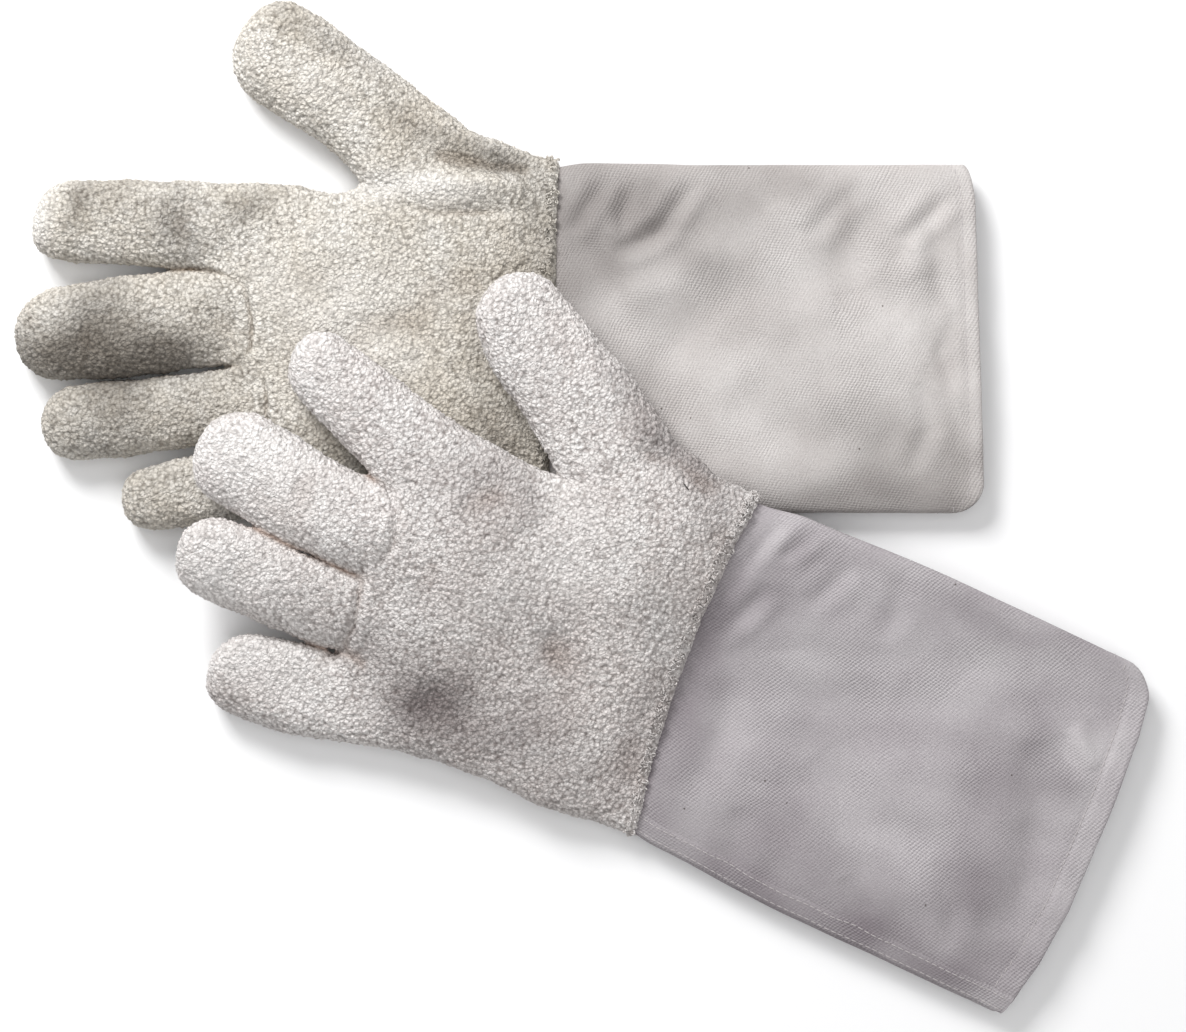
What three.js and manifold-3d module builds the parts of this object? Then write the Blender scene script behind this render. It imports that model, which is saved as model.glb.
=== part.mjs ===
// A pair of long work gloves lying on a table: terry hands sewn to canvas cuffs. Millimetres, +Z up.
// The right glove lies flat along X. The left glove lies turned across its little-finger side.
// A glove is drawn flat first, in its own terms: reach runs from the wrist seam to the fingertips,
// side runs from the little-finger edge to the thumb, and up is the height over the glove's middle.
import * as THREE from "three";
import { mergeVertices } from "three/addons/utils/BufferGeometryUtils.js";
import Module from "manifold-3d";

const wasm = await Module();
wasm.setup();

// Cloth.
const TERRY = 3; // thickness of the loop-pile cloth
const CANVAS = 1.2; // thickness of the cuff's drill
const GAP = 0.3; // between neighbouring pieces, where the thread holds them

// Half the thickness of a glove that nobody wears.
const FINGER_HALF = 10;
const THUMB_HALF = 11.5;
const PALM_HALF = 12;
const CUFF_HALF = 7;

// Cuff and its seams.
const CUFF_LENGTH = 171;
const CUFF_EDGE = 12; // how far in the folded edge stays round
const HEM_WIDTH = 10;
const SEAM_TUCK = 10; // turned-in cloth inside the hand at the wrist
const LAP_WIDTH = 7.5;
const LAP_INSET = 1.5; // from the cuff's edge to the felled seam
const LAP_THICK = 0.8;
const LAP_END = 6; // the felled seam stops this far short of wrist and mouth

// Hand.
const PALM_EDGE = 26; // how far in the palm's side stays round
const ROOT_REACH = 98; // where a finger's tube starts inside the palm
const ROOT_SLIM = 2.4; // half thickness a tube lacks at its root, and the palm at its end
const ROOT_BLEND = 26; // over which a tube gains that thickness
const OVERRUN = 4; // how far a cuff's hollow runs past its ends before it is cut
const WRIST_PLAY = 30; // how far the hand's hollow runs past the wrist before it is cut

// How the gloves lie.
const SINK = 0.8; // the hand is pressed flat on the table by this much
const CUFF_RISE = LAP_THICK + GAP; // the cuff stands on its felled seam
const CLEARANCE = 1; // between the two gloves
const DRAPE_EDGE = -70; // y of the right glove's little-finger edge, from its wrist
const DRAPE_RAMP = 80; // length of the slope up to it
const ORIGIN = [14.7, -67.2]; // centre of the pair's outline, from the right wrist

// Fineness of the faceted cloth.
const ARC_STEPS = 3; // facets in a quarter of a round edge
const PALM_FLATS = 4; // facets across the palm between its round edges
const CUFF_FLATS = 6;
const CUFF_STEP = 25; // between the cuff's sections
const DIGIT_STEP = 20; // between a digit's sections
const SEAM_CELL = 27; // facet size of the sheet that parts front from back on a draped glove
const TIP_ANGLES = [0, 35, 62, 81]; // degrees round a fingertip
const WELD = 0.002; // corners of a finished piece closer than this are one
const SAME_PLACE = 1e-4; // the same for a shape before it is cut

const TERRY_CREAM = { color: 0xd7d2c6, roughness: 0.95, metalness: 0 };
const TERRY_WHITE = { color: 0xdcd6d4, roughness: 0.95, metalness: 0 };
const CANVAS_WARM = { color: 0xd0cbc9, roughness: 0.85, metalness: 0 };
const CANVAS_COOL = { color: 0xbcb6ba, roughness: 0.85, metalness: 0 };

// A finger: the middle of its tip, its lean towards the thumb in degrees, its width, and the reach at
// which it parts from the hand. A pinned finger has its fold halfway along, and a stub before it.
// The wrist slant is in degrees too: how far the seam's thumb end leans towards the fingers.
const RIGHT = {
  name: "right",
  wrist: [0, 0],
  heading: 180,
  wristSlant: -2,
  cuffHalf: 70,
  lapSign: -1,
  terry: TERRY_CREAM,
  canvas: CANVAS_WARM,
  palm: [
    [-20, -71, 70],
    [6, -72, 73],
    [20, -73, 78],
    [32, -74, 84],
    [48, -75, 84],
    [62, -75.5, 69],
    [76, -76, 58],
    [96, -76.5, 60.5],
    [113, -75, 61.5],
    [127, -74, 62],
  ],
  palmTurn: 8,
  digits: [
    { name: "index", tip: [206, 48], lean: 2, width: 33.5, half: FINGER_HALF, cut: 140 },
    { name: "middle", tip: [214, 1], lean: -5.5, width: 38.5, half: FINGER_HALF, cut: 138.5 },
    { name: "ring", tip: [202.5, -36.5], lean: -6.5, width: 31, half: FINGER_HALF, cut: 158, pinned: true },
    { name: "little", tip: [171, -65.5], lean: -8, width: 28.5, half: FINGER_HALF, cut: 148, pinned: true },
    { name: "thumb", tip: [121, 125], lean: 36, width: 42, half: THUMB_HALF, cut: 75, root: 44 },
  ],
};

const LEFT = {
  name: "left",
  wrist: [58, -130.8],
  heading: 155.1,
  wristSlant: 5,
  cuffHalf: 72,
  lapSign: 1,
  terry: TERRY_WHITE,
  canvas: CANVAS_COOL,
  palm: [
    [-20, -73, 72.5],
    [6, -74, 73.5],
    [22, -75, 73],
    [34, -76, 76],
    [48, -76.5, 76],
    [62, -77, 60],
    [77, -78, 46],
    [97, -81, 46],
    [114, -86, 47.5],
    [130, -90, 50],
  ],
  palmTurn: 4,
  digits: [
    { name: "index", tip: [196, 47.5], lean: 13, width: 34.5, half: FINGER_HALF, cut: 139.5 },
    { name: "middle", tip: [215, -2.5], lean: 1.5, width: 36.5, half: FINGER_HALF, cut: 139 },
    { name: "ring", tip: [205, -42], lean: -2.5, width: 31.5, half: FINGER_HALF, cut: 139 },
    { name: "little", tip: [176, -82], lean: -10.5, width: 35, half: FINGER_HALF, cut: 133 },
    { name: "thumb", tip: [134, 106.5], lean: 33, width: 42, half: THUMB_HALF, cut: 80, root: 44 },
  ],
};

// Half the glove's thickness at a reach: thin cuff, full palm, fingers between the two.
function halfHeight(reach) {
  const intoPalm = THREE.MathUtils.smoothstep(reach, -15, 40);
  const intoFingers = THREE.MathUtils.smoothstep(reach, 90, 138);
  return CUFF_HALF + (PALM_HALF - CUFF_HALF) * intoPalm - (PALM_HALF - FINGER_HALF) * intoFingers;
}

// Height of the glove's middle over the table at a reach.
function middleHeight(reach) {
  const hand = THREE.MathUtils.smoothstep(reach, -20, 10);
  return halfHeight(reach) + CUFF_RISE - (CUFF_RISE + SINK) * hand;
}

// How high the right glove holds the left one up: by its own top where they overlap, falling to the table.
function drape(x, y) {
  const top = middleHeight(-x) + halfHeight(-x) + CLEARANCE;
  return top * THREE.MathUtils.smoothstep(y, DRAPE_EDGE - DRAPE_RAMP, DRAPE_EDGE);
}

// Where a point of the flat glove lies on the table.
function lay(glove, reach, side, up) {
  const heading = THREE.MathUtils.degToRad(glove.heading);
  const x = glove.wrist[0] + reach * Math.cos(heading) + side * Math.sin(heading);
  const y = glove.wrist[1] + reach * Math.sin(heading) - side * Math.cos(heading);
  const lift = glove === LEFT ? drape(x, y) : 0;
  const z = Math.max(0, middleHeight(reach) + up) + lift;
  return new THREE.Vector3(x - ORIGIN[0], y - ORIGIN[1], z);
}

// One section of a pillow, round at its edges and flat between them: [side, up] pairs from the thumb side.
function pillowSection(halfWidth, halfUp, edge, flats) {
  const middle = halfWidth - edge;
  const corners = [[middle, 0], [-middle, 90], [-middle, 180], [middle, 270]];
  const points = [];
  corners.forEach(([centre, start], corner) => {
    for (let step = 0; step < ARC_STEPS; step++) {
      const angle = THREE.MathUtils.degToRad(start + (step * 90) / ARC_STEPS);
      points.push([centre + edge * Math.cos(angle), halfUp * Math.sin(angle)]);
    }
    if (corner % 2) return;
    for (let flat = 0; flat < flats; flat++)
      points.push([centre * (1 - (2 * flat) / flats), corner ? -halfUp : halfUp]);
  });
  return points;
}

// A closed skin through stations along a glove. A station has its reach, side, turn in degrees and ring.
function loft(glove, stations) {
  const count = stations[0].ring.length;
  const positions = [];
  const addRing = ({ reach, side, turn, ring }) => {
    const angle = THREE.MathUtils.degToRad(turn);
    ring.forEach(([across, up]) => {
      const at = lay(glove, reach - across * Math.sin(angle), side + across * Math.cos(angle), up);
      positions.push(...at.toArray());
    });
  };
  stations.forEach(addRing);
  const index = [];
  for (let row = 0; row + 1 < stations.length; row++)
    for (let k = 0; k < count; k++) {
      const a = row * count + k;
      const b = row * count + ((k + 1) % count);
      index.push(a, a + count, b, b, a + count, b + count);
    }
  const last = (stations.length - 1) * count;
  const cap = (a, b, c) => {
    if (a === b || b === c || c === a) return;
    index.push(a, b, c, last + a, last + c, last + b);
  };
  // Each end is closed in upright strips, which stay flat when the glove is draped.
  for (let k = 0; k < count / 2; k++) {
    const under = (count - k) % count;
    cap(k, k + 1, count - k - 1);
    cap(k, count - k - 1, under);
  }
  const geometry = new THREE.BufferGeometry();
  geometry.setAttribute("position", new THREE.Float32BufferAttribute(positions, 3));
  geometry.setIndex(index);
  return solid(geometry);
}

// A closed geometry as a solid that can be joined and cut.
function solid(geometry) {
  geometry.deleteAttribute("normal");
  geometry.deleteAttribute("uv");
  const merged = mergeVertices(geometry, SAME_PLACE);
  return new wasm.Manifold(
    new wasm.Mesh({
      numProp: 3,
      vertProperties: merged.attributes.position.array,
      triVerts: new Uint32Array(merged.index.array),
    }),
  );
}

// A finger's tube with a round tip, as thick as its digit or thinner by an inset all round.
function digitSolid(glove, digit, inset) {
  const lean = THREE.MathUtils.degToRad(digit.lean);
  const half = digit.width / 2;
  const root = digit.root ?? ROOT_REACH;
  const length = (digit.tip[0] - root) / Math.cos(lean);
  const start = [digit.tip[0] - length * Math.cos(lean), digit.tip[1] - length * Math.sin(lean)];
  const straight = length - half;
  const steps = Math.ceil(straight / DIGIT_STEP);
  const station = (along, width, up) => ({
    reach: start[0] + along * Math.cos(lean),
    side: start[1] + along * Math.sin(lean),
    turn: digit.lean,
    ring: pillowSection(width, up, width, 0),
  });
  const stations = [];
  for (let i = 0; i < steps; i++) {
    const along = (straight * i) / steps;
    const grown = THREE.MathUtils.smoothstep(along, 0, ROOT_BLEND);
    stations.push(station(along, half - inset, digit.half - inset - ROOT_SLIM * (1 - grown)));
  }
  TIP_ANGLES.forEach((degrees) => {
    const angle = THREE.MathUtils.degToRad(degrees);
    const along = straight + (half - inset) * Math.sin(angle);
    const round = Math.cos(angle);
    stations.push(station(along, (half - inset) * round, (digit.half - inset) * Math.sqrt(round)));
  });
  return loft(glove, stations);
}

// The palm's pillow up to the finger roots, as drawn or thinner by an inset all round.
function palmSolid(glove, inset) {
  const first = glove.palm[0][0];
  const last = glove.palm[glove.palm.length - 1][0];
  const stations = glove.palm.map(([reach, low, high], i) => {
    const halfWidth = (high - low) / 2 - inset;
    const share = (reach - first) / (last - first);
    let at = reach;
    if (i === 0 && inset) at -= WRIST_PLAY;
    if (reach === last) at -= inset;
    const slim = ROOT_SLIM * THREE.MathUtils.smoothstep(reach, last - ROOT_BLEND, last);
    return {
      reach: at,
      side: (high + low) / 2,
      turn: -glove.palmTurn * share * share,
      ring: pillowSection(halfWidth, halfHeight(reach) - slim - inset, PALM_EDGE - inset, PALM_FLATS),
    };
  });
  return loft(glove, stations);
}

// A full tube between two reaches of the cuff, slanted as the wrist seam is, with its ends run on a little.
function cuffSolid(glove, from, to, inset, overrun) {
  const steps = Math.max(1, Math.round((to - from) / CUFF_STEP));
  const stations = [];
  for (let i = 0; i <= steps; i++) {
    const reach = from + ((to - from) * i) / steps;
    const slant = glove.wristSlant * (1 + Math.max(reach, -CUFF_LENGTH) / CUFF_LENGTH);
    const run = i === 0 ? -overrun : i === steps ? overrun : 0;
    stations.push({
      reach: reach + run,
      side: 0,
      turn: -slant,
      ring: pillowSection(glove.cuffHalf - inset, halfHeight(reach) - inset, CUFF_EDGE - inset, CUFF_FLATS),
    });
  }
  return loft(glove, stations);
}

// A tube between two reaches with a wall, open at both ends.
function sleeve(glove, from, to, inset, wall) {
  return cuffSolid(glove, from, to, inset, 0).subtract(cuffSolid(glove, from, to, inset + wall, OVERRUN));
}

// The felled seam: a flat strip that lies along the cuff, near its little-finger edge.
function lapSolid(glove) {
  const band = sleeve(glove, -CUFF_LENGTH, -GAP, -GAP - LAP_THICK, LAP_THICK);
  const tall = 20;
  const at = lay(glove, -CUFF_LENGTH / 2, -glove.cuffHalf + LAP_INSET + LAP_WIDTH / 2, 0);
  const strip = new THREE.BoxGeometry(CUFF_LENGTH - 2 * LAP_END, LAP_WIDTH, tall);
  strip.rotateZ(THREE.MathUtils.degToRad(glove.heading));
  strip.translate(at.x, at.y, at.z + (glove.lapSign * tall) / 2);
  return band.intersect(solid(strip));
}

// All the space over the seam that runs round a glove's edge, starting this far above it.
function spaceOver(glove, rise) {
  const [fromReach, toReach, halfSide, tall] = [-30, 240, 150, 60];
  const length = toReach - fromReach;
  const across = glove === LEFT ? Math.round((2 * halfSide) / SEAM_CELL) : 1;
  const cells = [Math.round(length / SEAM_CELL), across];
  const box = new THREE.BoxGeometry(length, 2 * halfSide, tall, ...cells, 1);
  const place = box.attributes.position;
  for (let i = 0; i < place.count; i++) {
    const floor = place.getZ(i) < 0;
    const at = lay(glove, (fromReach + toReach) / 2 + place.getX(i), place.getY(i), 0);
    place.setXYZ(i, at.x, at.y, at.z + (floor ? rise : tall));
  }
  // The glove is laid out mirrored, so each face is turned round.
  const faces = box.index.array;
  for (let i = 0; i < faces.length; i += 3) [faces[i], faces[i + 1]] = [faces[i + 1], faces[i]];
  return solid(box);
}

// A tall block over all that lies past (sign 1) or before (sign -1) a line across a digit or the wrist.
function blockPast(glove, reach, side, lean, sign) {
  const size = 400;
  const heading = THREE.MathUtils.degToRad(glove.heading - lean);
  const at = lay(glove, reach, side, 0);
  const box = new THREE.BoxGeometry(size, size, size);
  box.translate(sign * (size / 2 + GAP / 2), 0, 0);
  box.rotateZ(heading);
  box.translate(at.x, at.y, 0);
  return solid(box);
}

// The middle of a digit at its cut.
function cutPoint(digit) {
  const slope = Math.tan(THREE.MathUtils.degToRad(digit.lean));
  return [digit.cut, digit.tip[1] - (digit.tip[0] - digit.cut) * slope];
}

const gloves = new THREE.Group();

// Adds a solid as a named piece, with near corners welded and the slivers between them dropped.
function addPiece(name, shape, look) {
  const mesh = shape.getMesh();
  const raw = new THREE.BufferGeometry();
  raw.setAttribute("position", new THREE.BufferAttribute(mesh.vertProperties, 3));
  raw.setIndex(new THREE.BufferAttribute(mesh.triVerts, 1));
  const geometry = mergeVertices(raw, WELD);
  const corners = [...geometry.index.array];
  const whole = [];
  for (let i = 0; i < corners.length; i += 3) {
    const face = corners.slice(i, i + 3);
    if (new Set(face).size === 3) whole.push(...face);
  }
  geometry.setIndex(whole);
  const piece = new THREE.Mesh(geometry, new THREE.MeshStandardMaterial(look));
  piece.name = name;
  gloves.add(piece);
}

// Both panels of a hollow terry piece, sewn together along its outline.
function addPanels(glove, name, shell) {
  addPiece(`${glove.name}_${name}_upper`, shell.intersect(spaceOver(glove, GAP / 2)), glove.terry);
  addPiece(`${glove.name}_${name}_under`, shell.subtract(spaceOver(glove, -GAP / 2)), glove.terry);
}

function addHand(glove) {
  const digits = glove.digits.map((digit) => {
    const at = cutPoint(digit);
    const outer = digitSolid(glove, digit, 0);
    return {
      digit,
      inner: digitSolid(glove, digit, TERRY),
      free: outer.intersect(blockPast(glove, ...at, digit.lean, 1)),
      root: outer.intersect(blockPast(glove, ...at, digit.lean, -1)),
    };
  });
  const hollow = digits.reduce((all, { inner }) => all.add(inner), palmSolid(glove, TERRY));
  const body = digits.reduce((all, { root }) => all.add(root), palmSolid(glove, 0));
  const hand = body.subtract(hollow).intersect(blockPast(glove, 0, 0, -glove.wristSlant, 1));
  addPanels(glove, "palm", hand);
  digits.forEach(({ digit, inner, free }) => {
    addPanels(glove, digit.pinned ? `${digit.name}_tip` : digit.name, free.subtract(inner));
  });
}

// The edges of terry and canvas, turned in and stitched: a ring of canvas inside the hand at the wrist.
function addWristSeam(glove) {
  const ring = palmSolid(glove, TERRY + GAP).subtract(palmSolid(glove, TERRY + GAP + CANVAS));
  const seam = ring
    .intersect(blockPast(glove, 0, 0, -glove.wristSlant, 1))
    .intersect(blockPast(glove, SEAM_TUCK, 0, -glove.wristSlant, -1));
  addPiece(`${glove.name}_wrist_seam`, seam, glove.canvas);
}

function addCuff(glove) {
  const hemEnd = -CUFF_LENGTH + HEM_WIDTH;
  addPiece(`${glove.name}_cuff`, sleeve(glove, -CUFF_LENGTH, -GAP, 0, CANVAS), glove.canvas);
  addPiece(`${glove.name}_cuff_hem`, sleeve(glove, -CUFF_LENGTH, hemEnd, CANVAS + GAP, CANVAS), glove.canvas);
  addPiece(`${glove.name}_cuff_lap`, lapSolid(glove), glove.canvas);
}

[RIGHT, LEFT].forEach((glove) => {
  addHand(glove);
  addWristSeam(glove);
  addCuff(glove);
});

export default gloves;
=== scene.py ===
"""The looks of a pair of work gloves, terry hands sewn to canvas cuffs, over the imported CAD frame.

A glove is drawn flat first, in millimetres: reach runs from the wrist seam to the fingertips, side from
the little-finger edge to the thumb, and up over the glove's middle. It is laid on the table at the end.
"""

import logging
import math
from collections.abc import Callable, Sequence
from dataclasses import dataclass, field
from enum import Enum

import bmesh
import bpy
import numpy as np
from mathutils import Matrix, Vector


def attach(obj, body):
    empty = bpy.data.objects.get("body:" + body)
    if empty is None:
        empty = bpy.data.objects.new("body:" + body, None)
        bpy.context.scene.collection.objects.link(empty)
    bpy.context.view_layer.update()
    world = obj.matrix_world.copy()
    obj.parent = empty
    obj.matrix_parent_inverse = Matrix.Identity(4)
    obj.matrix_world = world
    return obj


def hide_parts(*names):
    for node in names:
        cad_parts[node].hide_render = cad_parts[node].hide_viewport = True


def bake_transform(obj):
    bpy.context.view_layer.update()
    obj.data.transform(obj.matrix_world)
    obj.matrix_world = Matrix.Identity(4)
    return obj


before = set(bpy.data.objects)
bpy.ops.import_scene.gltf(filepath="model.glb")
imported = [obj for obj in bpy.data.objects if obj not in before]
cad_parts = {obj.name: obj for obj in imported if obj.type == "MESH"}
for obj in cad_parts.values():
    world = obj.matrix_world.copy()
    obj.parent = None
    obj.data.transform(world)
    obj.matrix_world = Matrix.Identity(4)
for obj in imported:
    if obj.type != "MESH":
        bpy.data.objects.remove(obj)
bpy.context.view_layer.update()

logging.basicConfig(level=logging.INFO, format="%(message)s")
LOG = logging.getLogger("gloves")

MM = 0.001
WORK_SCALE = 0.01  # Blender units to a millimetre while a skin is remeshed and subdivided
WAVES = 14  # in each ripple
Array = np.ndarray
Colour = tuple[float, float, float]
Edge = Callable[[Array], Array]  # the reach of a line across a cuff, at each side


class Face(Enum):
    """Which face of a glove something is on: the one seen from above, or the one on the table."""

    UPPER = "upper"
    UNDER = "under"


def smoothstep(value: Array | float, low: float, high: float) -> Array:
    """A soft step from 0 where a value is at low to 1 where it is at high."""
    share = np.clip((np.asarray(value, float) - low) / (high - low), 0.0, 1.0)
    return share * share * (3.0 - 2.0 * share)


def from_srgb(red: int, green: int, blue: int) -> Colour:
    """A display colour, 0 to 255, as the linear colour that a shader takes."""
    shares = (channel / 255 for channel in (red, green, blue))
    return tuple(s / 12.92 if s <= 0.04045 else ((s + 0.055) / 1.055) ** 2.4 for s in shares)


def ripple(points: Array, wavelength: float, seed: int) -> Array:
    """Soft seeded unevenness, about -1 to 1: a sum of plane waves in random directions.

    Args:
        points: Where, one row a point.
        wavelength: Of the waves, in the points' unit.
        seed: Of the random directions.

    Returns:
        The unevenness at each point.
    """
    rng = np.random.default_rng(seed)
    directions = rng.normal(size=(WAVES, points.shape[1]))
    directions /= np.linalg.norm(directions, axis=1, keepdims=True)
    numbers = 2 * math.pi / (wavelength * rng.uniform(0.7, 1.5, WAVES))
    phases = rng.uniform(0, 2 * math.pi, WAVES)
    waves = np.zeros(len(points))
    for direction, number, phase in zip(directions, numbers, phases):
        waves += np.cos(points @ direction * number + phase)
    return waves / math.sqrt(WAVES / 2) / 1.6


@dataclass(frozen=True)
class Cells:
    """Irregular cells in space, as the loops of a pile stand in: their size in millimetres and a seed."""

    size: float
    seed: int

    def _random(self, cell: Array, channel: int) -> Array:
        """A number from 0 to 1 for each cell, always the same for that cell."""
        x, y, z = (cell[:, k].astype(np.int64) for k in range(3))
        mixed = x * 73856093 ^ y * 19349663 ^ z * 83492791 ^ (self.seed * 7919 + channel * 104729)
        mixed = (mixed ^ (mixed >> 13)) * 1274126177
        mixed = (mixed ^ (mixed >> 16)) & 0xFFFFFF
        return mixed / float(0xFFFFFF)

    def at(self, points: Array) -> tuple[Array, Array]:
        """How far each point is from the nearest cell's middle, in cells, and that cell's own number.

        Args:
            points: Where, in millimetres.

        Returns:
            The distances and the numbers, 0 to 1.
        """
        scaled = points / self.size
        base = np.floor(scaled)
        nearest = np.full(len(points), 9.0)
        number = np.zeros(len(points))
        for dx in (-1, 0, 1):
            for dy in (-1, 0, 1):
                for dz in (-1, 0, 1):
                    cell = base + (dx, dy, dz)
                    jitter = np.stack([self._random(cell, k) for k in range(3)], axis=1)
                    away = np.linalg.norm(scaled - cell - jitter, axis=1)
                    closer = away < nearest
                    nearest = np.where(closer, away, nearest)
                    number = np.where(closer, self._random(cell, 5), number)
        return nearest, number


@dataclass(frozen=True)
class Fold:
    """A soft ridge along a line in the flat glove's upper face, or a groove if its height is negative."""

    path: tuple[tuple[float, float], ...]
    height: float
    width: float
    shoulder: float = 0.0

    def distance(self, plan: Array) -> tuple[Array, Array]:
        """How far points are from the line, and how far along it from 0 to 1.

        Args:
            plan: The points' reach and side.

        Returns:
            The distances and the shares.
        """
        corners = np.array(self.path, float)
        lengths = np.linalg.norm(np.diff(corners, axis=0), axis=1)
        total, run = lengths.sum(), 0.0
        best, share = np.full(len(plan), 1e9), np.zeros(len(plan))
        for start, end, length in zip(corners, corners[1:], lengths):
            step = (end - start) / length
            along = np.clip((plan - start) @ step, 0.0, length)
            away = np.linalg.norm(plan - start - along[:, None] * step, axis=1)
            share = np.where(away < best, (run + along) / total, share)
            best = np.minimum(best, away)
            run += length
        return best, share

    def rise(self, flat: Array, facing: Array) -> Array:
        """How much the cloth stands out at each point.

        Args:
            flat: The points' reach, side and up.
            facing: From -1 for the under face to 1 for the upper.

        Returns:
            The rise in millimetres.
        """
        away, share = self.distance(flat[:, :2])
        profile = np.exp(-((away / self.width) ** 2))
        profile -= self.shoulder * np.exp(-(((away - 2.1 * self.width) / self.width) ** 2))
        taper = np.sqrt(np.clip(np.sin(math.pi * share), 0.0, 1.0))
        return self.height * profile * taper * smoothstep(facing, -0.1, 0.45)


@dataclass
class Skin:
    """A mesh as arrays: points, faces of four corners and what is known at each point."""

    points: Array
    faces: Array
    fields: dict[str, Array] = field(default_factory=dict)

    def part(self, keep: Array) -> "Skin":
        """The faces marked True, with only the points they use.

        Args:
            keep: One truth value a face.

        Returns:
            The smaller skin.
        """
        chosen = self.faces[keep]
        used, renumbered = np.unique(chosen, return_inverse=True)
        fields = {name: values[used] for name, values in self.fields.items()}
        return Skin(self.points[used], renumbered.reshape(chosen.shape), fields)

    def normals(self) -> Array:
        """The outward direction at each point."""
        corners = self.points[self.faces]
        across = np.cross(corners[:, 2] - corners[:, 0], corners[:, 3] - corners[:, 1])
        summed = np.zeros_like(self.points)
        for k in range(3):
            summed[:, k] = np.bincount(self.faces.ravel(), np.repeat(across[:, k], 4), len(self.points))
        return summed / np.maximum(np.linalg.norm(summed, axis=1, keepdims=True), 1e-12)

    def push(self, amount: Array) -> None:
        """Moves each point outwards by its own amount."""
        self.points = self.points + self.normals() * amount[:, None]

    @staticmethod
    def joined(skins: Sequence["Skin"]) -> "Skin":
        """Several skins as one.

        Args:
            skins: The skins, all with the same fields.

        Returns:
            The joined skin.
        """
        starts = np.cumsum([0] + [len(skin.points) for skin in skins[:-1]])
        faces = np.concatenate([skin.faces + start for skin, start in zip(skins, starts)])
        names = skins[0].fields
        fields = {name: np.concatenate([skin.fields[name] for skin in skins]) for name in names}
        return Skin(np.concatenate([skin.points for skin in skins]), faces, fields)


def grid_faces(rows: int, columns: int, round_rows: bool = True, round_columns: bool = True) -> Array:
    """The faces between points that stand in rows.

    Args:
        rows: How many rows.
        columns: How many points a row.
        round_rows: Whether the last row meets the first.
        round_columns: Whether each row's last point meets its first.

    Returns:
        Four point numbers a face.
    """
    row, column = np.meshgrid(
        np.arange(rows - (not round_rows)), np.arange(columns - (not round_columns)), indexing="ij"
    )
    around = ((0, 0), (0, 1), (1, 1), (1, 0))
    corners = [(row + down) % rows * columns + (column + over) % columns for down, over in around]
    return np.stack(corners, axis=-1).reshape(-1, 4)


def link(name: str, data: bpy.types.ID) -> bpy.types.Object:
    """A new object in the scene."""
    obj = bpy.data.objects.new(name, data)
    bpy.context.scene.collection.objects.link(obj)
    return obj


def mesh_of(name: str, skin: Skin, scale: float = 1.0) -> bpy.types.Mesh:
    """A Blender mesh of a skin.

    Args:
        name: The mesh's name.
        skin: The skin.
        scale: Multiplies the points.

    Returns:
        The mesh.
    """
    mesh = bpy.data.meshes.new(name)
    mesh.from_pydata((skin.points * scale).tolist(), [], skin.faces.tolist())
    mesh.polygons.foreach_set("use_smooth", [True] * len(mesh.polygons))
    mesh.update()
    return mesh


def worked(mesh: bpy.types.Mesh, scale: float, work: Callable[[bpy.types.Object], None]) -> Skin:
    """A mesh after Blender modifiers that leave only faces of four corners.

    Args:
        mesh: The mesh, removed afterwards.
        scale: Blender units to one of the skin's.
        work: Adds the modifiers to the object it is given.

    Returns:
        The changed skin, without fields.
    """
    obj = link("work", mesh)
    work(obj)
    bpy.context.view_layer.update()
    done = bpy.data.meshes.new_from_object(obj.evaluated_get(bpy.context.evaluated_depsgraph_get()))
    points = np.zeros(len(done.vertices) * 3)
    done.vertices.foreach_get("co", points)
    faces = np.array([tuple(polygon.vertices) for polygon in done.polygons])
    bpy.data.objects.remove(obj)
    bpy.data.meshes.remove(done)
    bpy.data.meshes.remove(mesh)
    return Skin(points.reshape(-1, 3) / scale, faces)


def subdivide(obj: bpy.types.Object) -> None:
    """Gives an object one level of subdivision."""
    finer = obj.modifiers.new("finer", "SUBSURF")
    finer.levels = finer.render_levels = 1


# ---------------------------------------------------------------------------------------------------
# Finishes
# ---------------------------------------------------------------------------------------------------


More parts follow.
